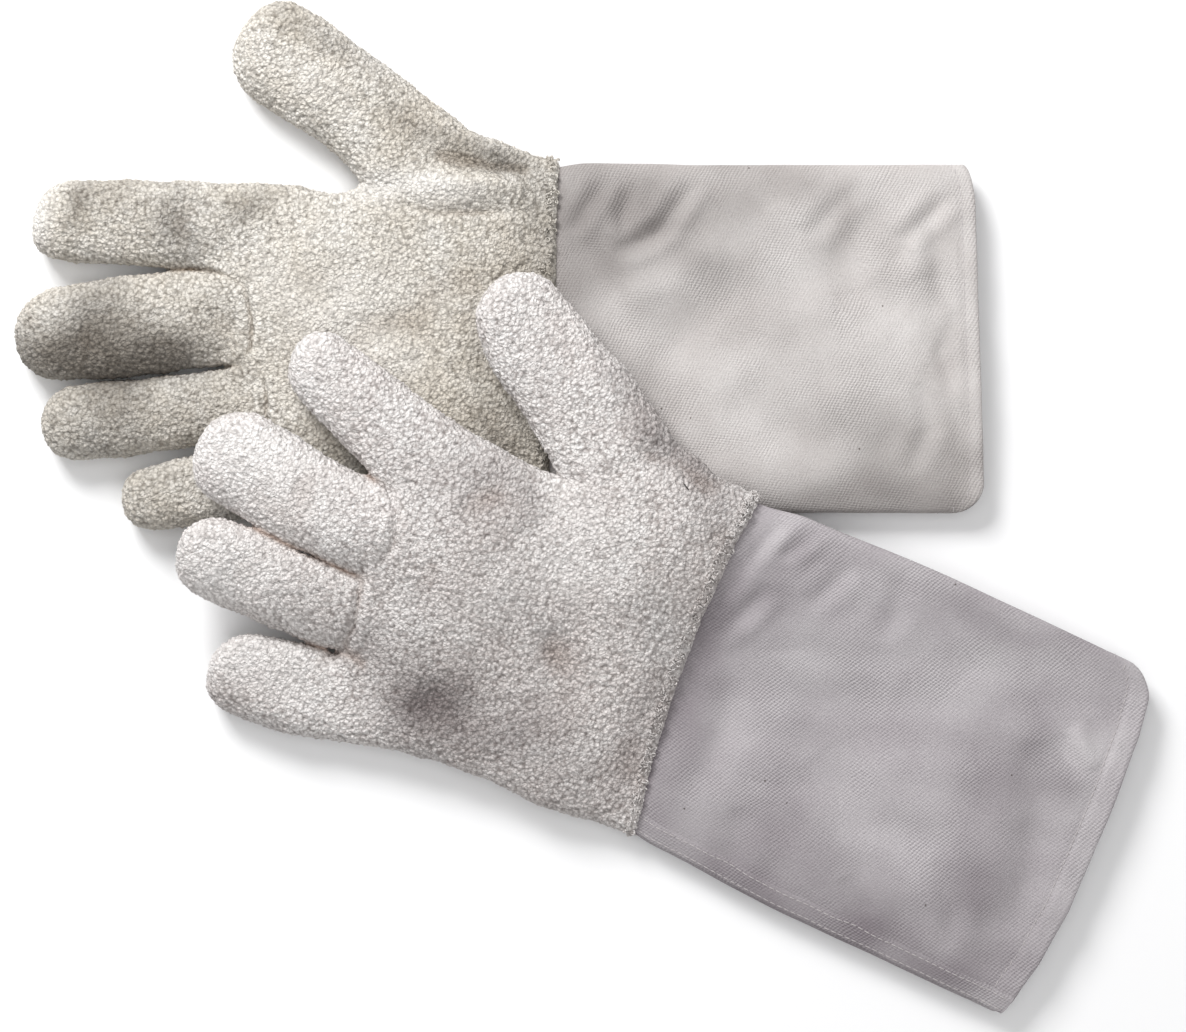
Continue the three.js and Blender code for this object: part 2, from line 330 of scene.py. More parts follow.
class Graph:
    """Short calls that add nodes and links to one node tree."""

    def __init__(self, tree: bpy.types.NodeTree) -> None:
        self.tree = tree

    def fill(self, node: bpy.types.Node, inputs: dict) -> None:
        """Sets a node's inputs.

        Args:
            node: The node.
            inputs: Values, or sockets to link from, by input name or number.
        """
        for name, value in inputs.items():
            if isinstance(value, bpy.types.NodeSocket):
                self.tree.links.new(value, node.inputs[name])
            else:
                node.inputs[name].default_value = value

    def add(self, kind: str, inputs: dict | None = None, **settings) -> bpy.types.Node:
        """Adds a node.

        Args:
            kind: The node's type, without the ShaderNode prefix.
            inputs: Values, or sockets to link from, by input name or number.
            **settings: Attributes of the node.

        Returns:
            The node.
        """
        node = self.tree.nodes.new("ShaderNode" + kind)
        for name, value in settings.items():
            setattr(node, name, value)
        self.fill(node, inputs or {})
        return node

    def attribute(self, name: str, output: str = "Fac") -> bpy.types.NodeSocket:
        """The socket of something known at each point."""
        return self.add("Attribute", attribute_name=name).outputs[output]

    def math(self, operation: str, first, second=0.0) -> bpy.types.NodeSocket:
        """The socket of a sum of one or two numbers or sockets."""
        return self.add("Math", {0: first, 1: second}, operation=operation).outputs[0]

    def range(self, value, low: float, high: float, start: float = 0.0) -> bpy.types.NodeSocket:
        """The socket of a value mapped from low to high onto start to 1."""
        limits = {"From Min": low, "From Max": high, "To Min": start}
        return self.add("MapRange", {"Value": value, **limits}).outputs[0]

    def layered(self, colour, layers: Sequence[tuple]) -> bpy.types.NodeSocket:
        """A colour with others laid over it in turn.

        Args:
            colour: The lowest one, a colour or socket.
            layers: For each one its mask, how much the mask counts, its colour and how it mixes.

        Returns:
            The last colour's socket.
        """
        for mask, strength, over, blend in layers:
            below = (*colour, 1.0) if isinstance(colour, tuple) else colour
            inputs = {0: self.math("MULTIPLY", mask, strength), 6: below, 7: (*over, 1.0)}
            colour = self.add("Mix", data_type="RGBA", blend_type=blend).outputs[2]
            self.fill(colour.node, inputs)
        return colour


def effect(name: str, settings: Sequence[str], results: Sequence[str]) -> tuple[Graph, dict, bpy.types.Node]:
    """A new shader node group that works on cloth coordinates.

    Args:
        name: The group's name.
        settings: The names of its number inputs, beside the input Cloth.
        results: The names of its number outputs.

    Returns:
        Its graph, its input sockets by name, and the node that takes its results.
    """
    tree = bpy.data.node_groups.new(name, "ShaderNodeTree")
    tree.interface.new_socket(name="Cloth", in_out="INPUT", socket_type="NodeSocketVector")
    for labels, way in ((settings, "INPUT"), (results, "OUTPUT")):
        for label in labels:
            tree.interface.new_socket(name=label, in_out=way, socket_type="NodeSocketFloat")
    into = tree.nodes.new("NodeGroupInput")
    given = {label: into.outputs[label] for label in ("Cloth", *settings)}
    return Graph(tree), given, tree.nodes.new("NodeGroupOutput")


def mottle_effect() -> bpy.types.NodeTree:
    """Soft patches of uneven tone over cloth.

    Returns:
        The group: cloth coordinates and a patch size in, a mask out.
    """
    graph, given, result = effect("mottle", ["Patch"], ["Mask"])
    scale = graph.math("DIVIDE", 1.0, given["Patch"])
    place = graph.add("VectorMath", {0: given["Cloth"], "Scale": scale}, operation="SCALE").outputs[0]
    noise = graph.add("TexNoise", {"Vector": place, "Scale": 1.0, "Detail": 4.0, "Roughness": 0.6})
    graph.fill(result, {"Mask": graph.range(noise.outputs["Fac"], 0.34, 0.66)})
    return graph.tree


def yarn_effect() -> bpy.types.NodeTree:
    """The spun yarn of the loops: curled blobs, with masks for the painted shade in the gaps between them
    and the painted highlight on their tops.

    Returns:
        The group: cloth coordinates and the loops' size in, a height and two masks out.
    """
    graph, given, result = effect("yarn", ["Loop"], ["Height", "Gap", "Bright"])
    curl = graph.add("TexNoise", {"Vector": given["Cloth"], "Scale": 0.5, "Detail": 2.0})
    swing = graph.add("VectorMath", {0: curl.outputs["Color"], "Scale": 1.5}, operation="SCALE")
    place = graph.add("VectorMath", {0: given["Cloth"], 1: swing.outputs[0]}, operation="ADD").outputs[0]
    scale = graph.math("DIVIDE", 1.0, given["Loop"])
    loops = graph.add("TexVoronoi", {"Vector": place, "Scale": scale, "Randomness": 1.0})
    curls = graph.add("TexVoronoi", {"Vector": place, "Scale": graph.math("MULTIPLY", scale, 2.1)})
    fine = graph.add("TexNoise", {"Vector": given["Cloth"], "Scale": 3.2, "Detail": 2.0, "Roughness": 0.6})
    dome = graph.math("SUBTRACT", 1.0, loops.outputs["Distance"])
    small = graph.math("SUBTRACT", 1.0, curls.outputs["Distance"])
    height = graph.math("ADD", dome, graph.math("MULTIPLY", small, 0.3))
    height = graph.math("ADD", height, graph.math("MULTIPLY", fine.outputs["Fac"], 0.3))
    # Gap masks the painted shade between the loops.
    gap = graph.range(loops.outputs["Distance"], 0.42, 0.8)
    tone = graph.add("SeparateColor", {0: loops.outputs["Color"]})
    # Bright masks the painted highlight on the loops' tops.
    bright = graph.math("MULTIPLY", graph.math("POWER", dome, 3.0), tone.outputs[0])
    graph.fill(result, {"Height": height, "Gap": gap, "Bright": bright})
    return graph.tree


def twill_effect() -> bpy.types.NodeTree:
    """The slanting ribs of drill, with uneven threads across them.

    Returns:
        The group: cloth coordinates, the ribs' slant in radians and their pitch in, a height out.
    """
    graph, given, result = effect("twill", ["Slant", "Pitch"], ["Height"])
    turn = {"Vector": given["Cloth"], "Angle": given["Slant"]}
    turned = graph.add("VectorRotate", turn, rotation_type="Z_AXIS").outputs[0]
    wander = graph.add("TexNoise", {"Vector": turned, "Scale": 0.12, "Detail": 2.0})
    axes = graph.add("SeparateXYZ", {0: turned})
    swing = graph.math("MULTIPLY", wander.outputs["Fac"], 2.2)
    across = graph.math("DIVIDE", graph.math("ADD", axes.outputs[1], swing), given["Pitch"])
    rib = graph.math("SINE", graph.math("MULTIPLY", across, 2 * math.pi))
    crossing = graph.math("ADD", axes.outputs[0], graph.math("MULTIPLY", across, 0.5))
    along = graph.math("SINE", graph.math("MULTIPLY", crossing, 2 * math.pi / 1.1))
    stretched = graph.add("Mapping", {"Vector": turned, "Scale": (0.5, 1.3, 1.0)}).outputs[0]
    slub = graph.add("TexNoise", {"Vector": stretched, "Scale": 1.5, "Detail": 4.0, "Roughness": 0.75})
    worn = graph.add("TexNoise", {"Vector": given["Cloth"], "Scale": 0.035, "Detail": 3.0})
    faded = graph.range(worn.outputs["Fac"], 0.38, 0.62, 0.25)
    weave = graph.math("ADD", graph.math("MULTIPLY", rib, 0.2), graph.math("MULTIPLY", along, 0.15))
    weave = graph.math("MULTIPLY", weave, faded)
    graph.fill(result, {"Height": graph.math("ADD", weave, slub.outputs["Fac"])})
    return graph.tree


EFFECTS = {"mottle": mottle_effect(), "yarn": yarn_effect(), "twill": twill_effect()}


@dataclass(frozen=True)
class Finish:
    """What every finish has: a name and a base colour. Each kind adds its own nodes."""

    name: str
    colour: Colour

    def begin(self) -> tuple[bpy.types.Material, Graph, bpy.types.Node]:
        """A new material with its graph and its shader node."""
        material = bpy.data.materials.new(self.name)
        material.use_nodes = True
        return material, Graph(material.node_tree), material.node_tree.nodes["Principled BSDF"]


@dataclass(frozen=True)
class TerryFinish(Finish):
    """Unbleached loop-pile terry: pale loops with painted highlights on their tops over a darker ground and
    painted shade between them, with stains, patches of grime and painted shading, and brown painted shade
    between the fingers and in creases.
    """

    ground_and_loop_shade: Colour
    stain: Colour
    grime_and_painted_shading: Colour
    crease_shade: Colour
    loop_highlight: Colour = (1.0, 0.985, 0.96)
    clean_and_lit: Colour = (0.98, 0.96, 0.94)

    def material(self) -> bpy.types.Material:
        """The finish as a Blender material."""
        material, graph, shader = self.begin()
        cloth = graph.attribute("cloth", "Vector")
        pile, tone, shade, grime_and_painted_shading = (graph.attribute(name) for name in ("pile", "tone", "shade", "grime_and_painted_shading"))
        yarn = graph.add("Group", {"Cloth": cloth, "Loop": 1.3}, node_tree=EFFECTS["yarn"])
        patches, flecks = (
            graph.add("Group", {"Cloth": cloth, "Patch": size}, node_tree=EFFECTS["mottle"]).outputs["Mask"]
            for size in (30.0, 7.0)
        )
        layers = (
            # Painted shade between the loops: low pile and the Gap mask mix towards the ground colour.
            (graph.range(pile, 0.05, 0.6), 1.0, self.colour, "MIX"),
            (yarn.outputs["Gap"], 0.58, self.ground_and_loop_shade, "MIX"),
            # Painted highlight on the loops' tops.
            (yarn.outputs["Bright"], 0.85, self.loop_highlight, "MIX"),
            (tone, 0.14, self.ground_and_loop_shade, "MIX"),
            (patches, 0.6, self.stain, "MULTIPLY"),
            (flecks, 0.25, self.stain, "MULTIPLY"),
            # Patches of grime and painted shade; where negative, painted light and cleaner cloth.
            (grime_and_painted_shading, 1.0, self.grime_and_painted_shading, "MULTIPLY"),
            (grime_and_painted_shading, -0.55, self.clean_and_lit, "MIX"),
            # Brown painted shade between the fingers and in creases.
            (shade, 1.0, self.crease_shade, "MULTIPLY"),
        )
        bump = graph.add("Bump", {"Height": yarn.outputs["Height"], "Distance": 0.0011, "Strength": 0.9})
        graph.fill(shader, {"Base Color": graph.layered(self.ground_and_loop_shade, layers), "Normal": bump.outputs[0]})
        graph.fill(shader, {"Roughness": 0.95, "Specular IOR Level": 0.12})
        graph.fill(shader, {"Sheen Weight": 0.15, "Sheen Roughness": 0.6})
        return material


@dataclass(frozen=True)
class CanvasFinish(Finish):
    """Cotton drill: fine slanting ribs, slubs, dark seed specks, patches of grime and painted shading, and
    painted shade towards the wrist and the side edges.
    """

    rib: Colour
    stain: Colour
    grime_and_painted_shading: Colour
    slant: float = -1.1
    seed: Colour = (0.09, 0.07, 0.06)
    clean_and_lit: Colour = (0.8, 0.78, 0.78)

    def material(self) -> bpy.types.Material:
        """The finish as a Blender material."""
        material, graph, shader = self.begin()
        cloth = graph.attribute("cloth", "Vector")
        shade, grime_and_painted_shading = graph.attribute("shade"), graph.attribute("grime_and_painted_shading")
        weave = {"Cloth": cloth, "Slant": self.slant, "Pitch": 1.3}
        height = graph.add("Group", weave, node_tree=EFFECTS["twill"]).outputs["Height"]
        patches = graph.add("Group", {"Cloth": cloth, "Patch": 38.0}, node_tree=EFFECTS["mottle"])
        specks = graph.add("TexVoronoi", {"Vector": cloth, "Scale": 0.075, "Randomness": 1.0})
        layers = (
            (graph.range(height, 0.2, 0.85), 1.0, self.colour, "MIX"),
            (patches.outputs["Mask"], 0.6, self.stain, "MULTIPLY"),
            (graph.math("LESS_THAN", specks.outputs["Distance"], 0.032), 0.75, self.seed, "MIX"),
            # Patches of grime and painted shade; where negative, painted light and cleaner cloth.
            (grime_and_painted_shading, 1.0, self.grime_and_painted_shading, "MULTIPLY"),
            (grime_and_painted_shading, -0.5, self.clean_and_lit, "MIX"),
            # Painted shade towards the wrist and the side edges, in the stain colour.
            (shade, 1.0, self.stain, "MULTIPLY"),
        )
        bump = graph.add("Bump", {"Height": height, "Distance": 0.00042, "Strength": 1.0})
        graph.fill(shader, {"Base Color": graph.layered(self.rib, layers), "Normal": bump.outputs[0]})
        graph.fill(shader, {"Roughness": 0.88, "Specular IOR Level": 0.18})
        return material


@dataclass(frozen=True)
class ThreadFinish(Finish):
    """Spun sewing thread."""

    def material(self) -> bpy.types.Material:
        """The finish as a Blender material."""
        material, graph, shader = self.begin()
        place = graph.add("TexCoord").outputs["Object"]
        twist = graph.add("TexNoise", {"Vector": place, "Scale": 2500.0, "Detail": 2.0})
        shadow = tuple(0.75 * channel for channel in self.colour)
        colour = graph.layered(shadow, [(twist.outputs["Fac"], 1.0, self.colour, "MIX")])
        graph.fill(shader, {"Base Color": colour, "Roughness": 0.7})
        return material


@dataclass(frozen=True)
class PaperFinish(Finish):
    """The plain floor."""

    def material(self) -> bpy.types.Material:
        """The finish as a Blender material."""
        material, graph, shader = self.begin()
        graph.fill(shader, {"Base Color": (*self.colour, 1.0), "Roughness": 0.9, "Specular IOR Level": 0.1})
        return material


# ---------------------------------------------------------------------------------------------------
# The gloves as drawn
# ---------------------------------------------------------------------------------------------------

ORIGIN = np.array([14.7, -67.2])  # the row frame's origin, from the right glove's wrist
CUFF_HALF, PALM_HALF, FINGER_HALF = 7.0, 12.0, 10.0  # half thicknesses
CUFF_RISE = 1.1  # the cuff stands on its felled seam
HAND_DROP = 1.9  # the hand's middle stands lower than that
FLOOR_SOFT = 0.6  # how softly cloth flattens on the table
FLOOR_SINK = 0.05
CLEARANCE = 1.4  # between the gloves
DRAPE = (-150.0, -70.0)  # where the left glove climbs on the right one, in y


def half_height(reach: Array | float) -> Array:
    """Half a glove's thickness at a reach: thin cuff, full palm, fingers between the two."""
    palm = (PALM_HALF - CUFF_HALF) * smoothstep(reach, -15, 40)
    return CUFF_HALF + palm - (PALM_HALF - FINGER_HALF) * smoothstep(reach, 90, 138)


def middle_height(reach: Array | float) -> Array:
    """Height of a glove's middle over the table at a reach."""
    return half_height(reach) + CUFF_RISE - HAND_DROP * smoothstep(reach, -20, 10)


@dataclass(frozen=True)
class Digit:
    """A finger or the thumb. Its tip is a point in reach and side, and its lean to the thumb is in degrees.

    Its part is its name in the CAD. Its sides are widths from its middle line at distances back from the
    tip: (back, little-finger side, thumb side). It parts from the hand at the cut; the bend is a reach along
    it.
    """

    name: str
    part: str
    tip: tuple[float, float]
    lean: float
    sides: tuple[tuple[float, float, float], ...]
    cut: float
    bend: float
    half: float = FINGER_HALF
    root: float = 98.0
    skew: float = 0.0  # how far the very tip stands off the middle line, towards the thumb
    power: float = 2.3  # how square the tip is

    @property
    def direction(self) -> Array:
        """The way it points, in reach and side."""
        lean = math.radians(self.lean)
        return np.array([math.cos(lean), math.sin(lean)])

    def widths(self, back: Array | float) -> tuple[Array, Array]:
        """Its widths to the little finger's side and the thumb's, back from the tip and not yet rounded."""
        table = np.array(self.sides)
        return np.interp(back, table[:, 0], table[:, 1]), np.interp(back, table[:, 0], table[:, 2])

    def middle(self, reach: float) -> Array:
        """The reach and side of its middle line at a reach."""
        slope = math.tan(math.radians(self.lean))
        return np.array([reach, self.tip[1] - (self.tip[0] - reach) * slope])

    def past(self, plan: Array, reach: float) -> tuple[Array, Array]:
        """How far points are past a line across the digit, and how far outside its sides.

        Args:
            plan: The points' reach and side.
            reach: Where the line crosses the middle line.

        Returns:
            The distance past, and the distance outside, which is negative inside.
        """
        along = self.direction
        away = plan - self.middle(reach)
        offset = (plan - np.array(self.tip)) @ np.array([-along[1], along[0]])
        low, high = self.widths((np.array(self.tip) - plan) @ along)
        return away @ along, np.maximum(offset - high, -offset - low)


@dataclass(frozen=True)
class Patch:
    """A soft patch of grime and painted shade, or of painted light and cleaner cloth where its strength is
    negative: its middle in reach and side, two radii, the first one's turn, and a strength.
    """

    middle: tuple[float, float]
    radii: tuple[float, float]
    turn: float
    strength: float

    def at(self, plan: Array) -> Array:
        """The patch's grime and painted shading at each point.

        Args:
            plan: The points' reach and side.

        Returns:
            The grime and painted shading, up to the strength.
        """
        turn = math.radians(self.turn)
        away = plan - np.array(self.middle)
        first = away @ np.array([math.cos(turn), math.sin(turn)]) / self.radii[0]
        second = away @ np.array([-math.sin(turn), math.cos(turn)]) / self.radii[1]
        return self.strength * np.exp(-(first**2) - second**2)


@dataclass(frozen=True)
class GlovePlan:
    """One glove as it is drawn flat and laid down.

    The palm and the mouth are outlines: (reach, little-finger edge, thumb edge) and (side, reach).
    """

    name: str
    wrist: tuple[float, float]
    heading: float
    slant: float
    bow: float
    cuff_half: float
    flare: float
    palm: tuple[tuple[float, float, float], ...]
    palm_turn: float
    digits: tuple[Digit, ...]
    folds: tuple[Fold, ...]
    cuff_folds: tuple[Fold, ...]
    patches: tuple[Patch, ...]
    cuff_patches: tuple[Patch, ...]
    mouth: tuple[tuple[float, float], ...]
    hem: float
    lap_face: Face
    corners: tuple[tuple[float, float], tuple[float, float]]
    hand_body: str
    cuff_body: str
    draped: bool
    seed: int
    edge_loops: int = 500
    fleck: tuple[tuple[float, float], ...] = ()

    def lay(self, flat: Array) -> Array:
        """Where points of the flat glove lie, in metres.

        Args:
            flat: Their reach, side and up, in millimetres.

        Returns:
            Their places in the row frame.
        """
        reach, side, up = flat.T
        heading = math.radians(self.heading)
        x = self.wrist[0] + reach * math.cos(heading) + side * math.sin(heading)
        y = self.wrist[1] + reach * math.sin(heading) - side * math.cos(heading)
        z = middle_height(reach) + up
        z = 0.5 * (z + np.sqrt(z * z + FLOOR_SOFT**2)) - FLOOR_SINK
        if self.draped:
            top = middle_height(-x) + half_height(-x) + CLEARANCE
            z = z + top * smoothstep(y, *DRAPE)
        return np.stack([x - ORIGIN[0], y - ORIGIN[1], z], axis=1) * MM

    def wrist_line(self, side: Array) -> Array:
        """The reach of the wrist seam at a side."""
        share = np.clip(side / self.cuff_half, -1.05, 1.05)
        return side * math.tan(math.radians(self.slant)) + self.bow * (1 - share * share)

    def past_wrist(self, points: Array) -> Array:
        """How far points are past the wrist seam, towards the fingers."""
        return points[:, 0] - self.wrist_line(points[:, 1])

    def grime_and_painted_shading(self, flat: Array, patches: Sequence[Patch]) -> Array:
        """How much grime and painted shade lie on the upper face, or painted light and cleaner cloth where
        it is negative.

        Args:
            flat: The points' reach, side and up.
            patches: The hand's patches or the cuff's.

        Returns:
            The grime and painted shading, -1 to 1.
        """
        stray = np.column_stack([ripple(flat, 44, self.seed + 20), ripple(flat, 44, self.seed + 21)])
        total = sum(patch.at(flat[:, :2] + 4 * stray) for patch in patches)
        total = total * (1 + 0.25 * ripple(flat, 30, self.seed + 22))
        return np.clip(total * smoothstep(flat[:, 2], -6.0, 1.0), -1, 1)


RIGHT = GlovePlan(
    name="right",
    wrist=(0.0, 0.0),
    heading=180.0,
    slant=-2.0,
    bow=0.5,
    cuff_half=70.6,
    flare=-0.8,
    palm=(
        (-20, -71, 71), (4, -72, 73.5), (14, -72.5, 76.5), (24, -73, 80.5), (34, -74, 85.5),
        (48, -75, 84), (62, -75.5, 69), (76, -76, 58), (96, -76.5, 60.5), (113, -75, 61.5),
        (127, -74, 62),
    ),
    palm_turn=8.0,
    digits=(
        Digit(
            "index", "index", (206.5, 48), 2.0,
            ((0, 16.3, 15.8), (30, 17, 17), (55, 18, 17.5), (64, 18.6, 17.5), (72, 21, 17.5),
             (110, 18, 17.5)),
            140, 144, skew=-5.0,
        ),
        Digit(
            "middle", "middle", (214, 1), -5.5,
            ((0, 18.2, 16.8), (22, 19.7, 17.9), (36, 20.4, 19.4), (50, 21.2, 20.1), (62, 20.4, 20),
             (70, 20, 19.9), (80, 20, 21), (116, 18, 17)),
            138.5, 146, skew=-1.5,
        ),
        Digit(
            "ring", "ring_tip", (202.5, -36.5), -6.5,
            ((0, 13.8, 15.5), (17, 14, 16.9), (28, 14.5, 16.3), (43, 14.3, 15.9), (62, 14, 16.2),
             (105, 14, 16)),
            158, 160,
        ),
        Digit(
            "little", "little_tip", (171, -65.5), -8.0,
            ((0, 12.6, 12.2), (12, 13, 12.6), (20, 13.2, 14), (30, 13.6, 15), (75, 14, 15)),
            148, 150,
        ),
        Digit(
            "thumb", "thumb", (121, 125), 36.0,
            ((0, 20.5, 20.5), (20, 21.5, 21.3), (38, 20.3, 21), (50, 20, 20.7), (60, 21, 20.3),
             (72, 23.5, 19.8), (86, 25, 20), (110, 22, 20)),
            75, 84, 11.5, 40, power=2.7,
        ),
    ),
    folds=(
        Fold(((127, 25), (121, 20), (118, 8), (118.5, -4), (123, -11.5)), -1.3, 1.7, 0.6),
        Fold(((146, 27.5), (136, 27), (126, 24.5)), -1.5, 1.2, 0.4),
        Fold(((140, -12.6), (130, -11.6), (122, -11)), -1.6, 1.2, 0.4),
        Fold(((113.5, -16), (112, -22), (112, -34), (114, -44)), -1.2, 1.5, 0.5),
        Fold(((146, 36), (146, 46), (142, 56)), -1.2, 5.0, 0.3),
        Fold(((124, 46), (121, 52), (118, 58)), -0.8, 4.0, 0.3),
        Fold(((190, 62), (188, 55), (184, 48)), -1.0, 2.4, 0.4),
        Fold(((185, 12), (184, 0), (184, -14)), -0.7, 3.5, 0.3),
        Fold(((60, 54), (44, 49.5), (24, 50), (4, 51)), -1.2, 2.4, 0.3),
        Fold(((60, 62), (34, 59), (10, 60)), 2.8, 5.0),
        Fold(((46, 73), (22, 68), (6, 68)), -2.8, 3.6, 0.5),
        Fold(((76, 64), (66, 66), (56, 62)), 1.1, 5.0),
        Fold(((100, 30), (80, 36), (60, 30)), 0.9, 7.0),
        Fold(((96, -8), (70, 6), (40, 4)), -0.7, 8.0),
    ),
    cuff_folds=(
        Fold(((-4, 60), (-14, 38), (-24, 20), (-30, 0)), -1.3, 6.5, 0.4),
        Fold(((-16, 66), (-40, 44), (-50, 34), (-66, 26)), -1.4, 7.0, 0.4),
        Fold(((-24, 66), (-16, 53), (-9, 42)), -2.0, 2.9, 0.6),
        Fold(((-60, 64), (-50, 51), (-41, 41)), -2.1, 3.1, 0.6),
        Fold(((-52, 46), (-40, 40), (-26, 34)), -1.9, 3.2, 0.5),
        Fold(((-34, 62), (-30, 50), (-30, 40)), -1.2, 2.6, 0.6),
        Fold(((-126, 62), (-114, 52), (-104, 40)), -1.4, 3.4, 0.5),
        Fold(((-162, 58), (-150, 47), (-141, 38)), -1.5, 3.0, 0.5),
        Fold(((-148, -18), (-152, -36), (-144, -54)), -1.3, 3.4, 0.5),
        Fold(((-162, 10), (-158, -6), (-162, -22)), -1.0, 2.6, 0.5),
        Fold(((-30, 16), (-48, 22), (-70, 38)), 2.0, 7.0),
        Fold(((-40, -10), (-58, 2), (-84, 22)), -1.6, 9.0, 0.4),
        Fold(((-58, 64), (-88, 60), (-112, 46)), 1.4, 10.0),
        Fold(((-104, 62), (-118, 40), (-124, 20), (-142, 12)), -2.0, 7.0, 0.5),
        Fold(((-134, 60), (-146, 44), (-150, 24)), 1.5, 6.0),
        Fold(((-156, 60), (-154, 36), (-156, 0), (-158, -40)), -1.1, 4.0, 0.3),
        Fold(((-70, -30), (-100, -40), (-130, -38), (-158, -30)), -1.4, 10.0, 0.3),
        Fold(((-110, -10), (-132, -4), (-150, -14)), 1.2, 8.0),
        Fold(((-76, 20), (-96, 8), (-116, 10)), 1.0, 9.0),
    ),
    patches=(
        Patch((170, -4), (56, 22), -5.5, 0.85),
        Patch((184, -2), (7, 18), -5.5, 0.15),
        Patch((150, -8), (26, 8), -5.5, 0.25),
        Patch((146, 45), (11, 9), 0, 0.65),
        Patch((121, 52), (8, 8), 0, 0.55),
        Patch((187, 54), (5, 13), 20, 0.6),
        Patch((200, 50), (6, 14), 15, -0.6),
        Patch((172, 50), (9, 12), 0, 0.3),
        Patch((86, 6), (50, 30), 10, -0.5),
        Patch((52, 60), (24, 6), 6, -0.8),
        Patch((98, 104), (30, 8), 36, -0.3),
        Patch((160, 60), (40, 5), 0, 0.25),
        Patch((180, -36), (24, 16), -6.5, 0.4),
        Patch((140, -34), (14, 10), 0, 0.25),
        Patch((157, -64), (14, 14), 0, 0.3),
        Patch((92, 122), (40, 7), 38, 0.4),
        Patch((30, 76), (24, 5), 22, 0.55),
        Patch((24, 66), (18, 5), 12, 0.45),
        Patch((4, 40), (10, 30), 0, 0.4),
        Patch((16, -20), (26, 40), 0, 0.35),
        Patch((70, -50), (40, 20), 10, 0.3),
    ),
    cuff_patches=(
        Patch((-8, 10), (16, 64), 0, 0.45),
        Patch((-34, 46), (48, 30), 10, 0.6),
        Patch((-150, -50), (30, 20), 0, 0.35),
        Patch((-120, -68), (54, 10), 0, 0.4),
        Patch((-84, 64), (50, 10), 4, 0.4),
        Patch((-38, 40), (16, 8), -35, 0.12),
        Patch((-60, 26), (14, 6), -30, 0.15),
        Patch((-30, -30), (16, 26), 20, 0.5),
        Patch((-116, 44), (16, 7), -40, 0.4),
        Patch((-90, -60), (60, 10), 0, 0.3),
        Patch((-160, 0), (4, 60), 0, 0.2),
        Patch((-130, -40), (26, 12), 10, 0.2),
    ),
    mouth=((-70, -174.3), (-60, -174), (0, -172), (55, -170.4), (70, -168.6)),
    hem=5.0,
    lap_face=Face.UNDER,
    corners=((12.0, 13.0), (12.0, 2.5)),
    hand_body="right_glove",
    cuff_body="right_glove",
    draped=False,
    seed=11,
)

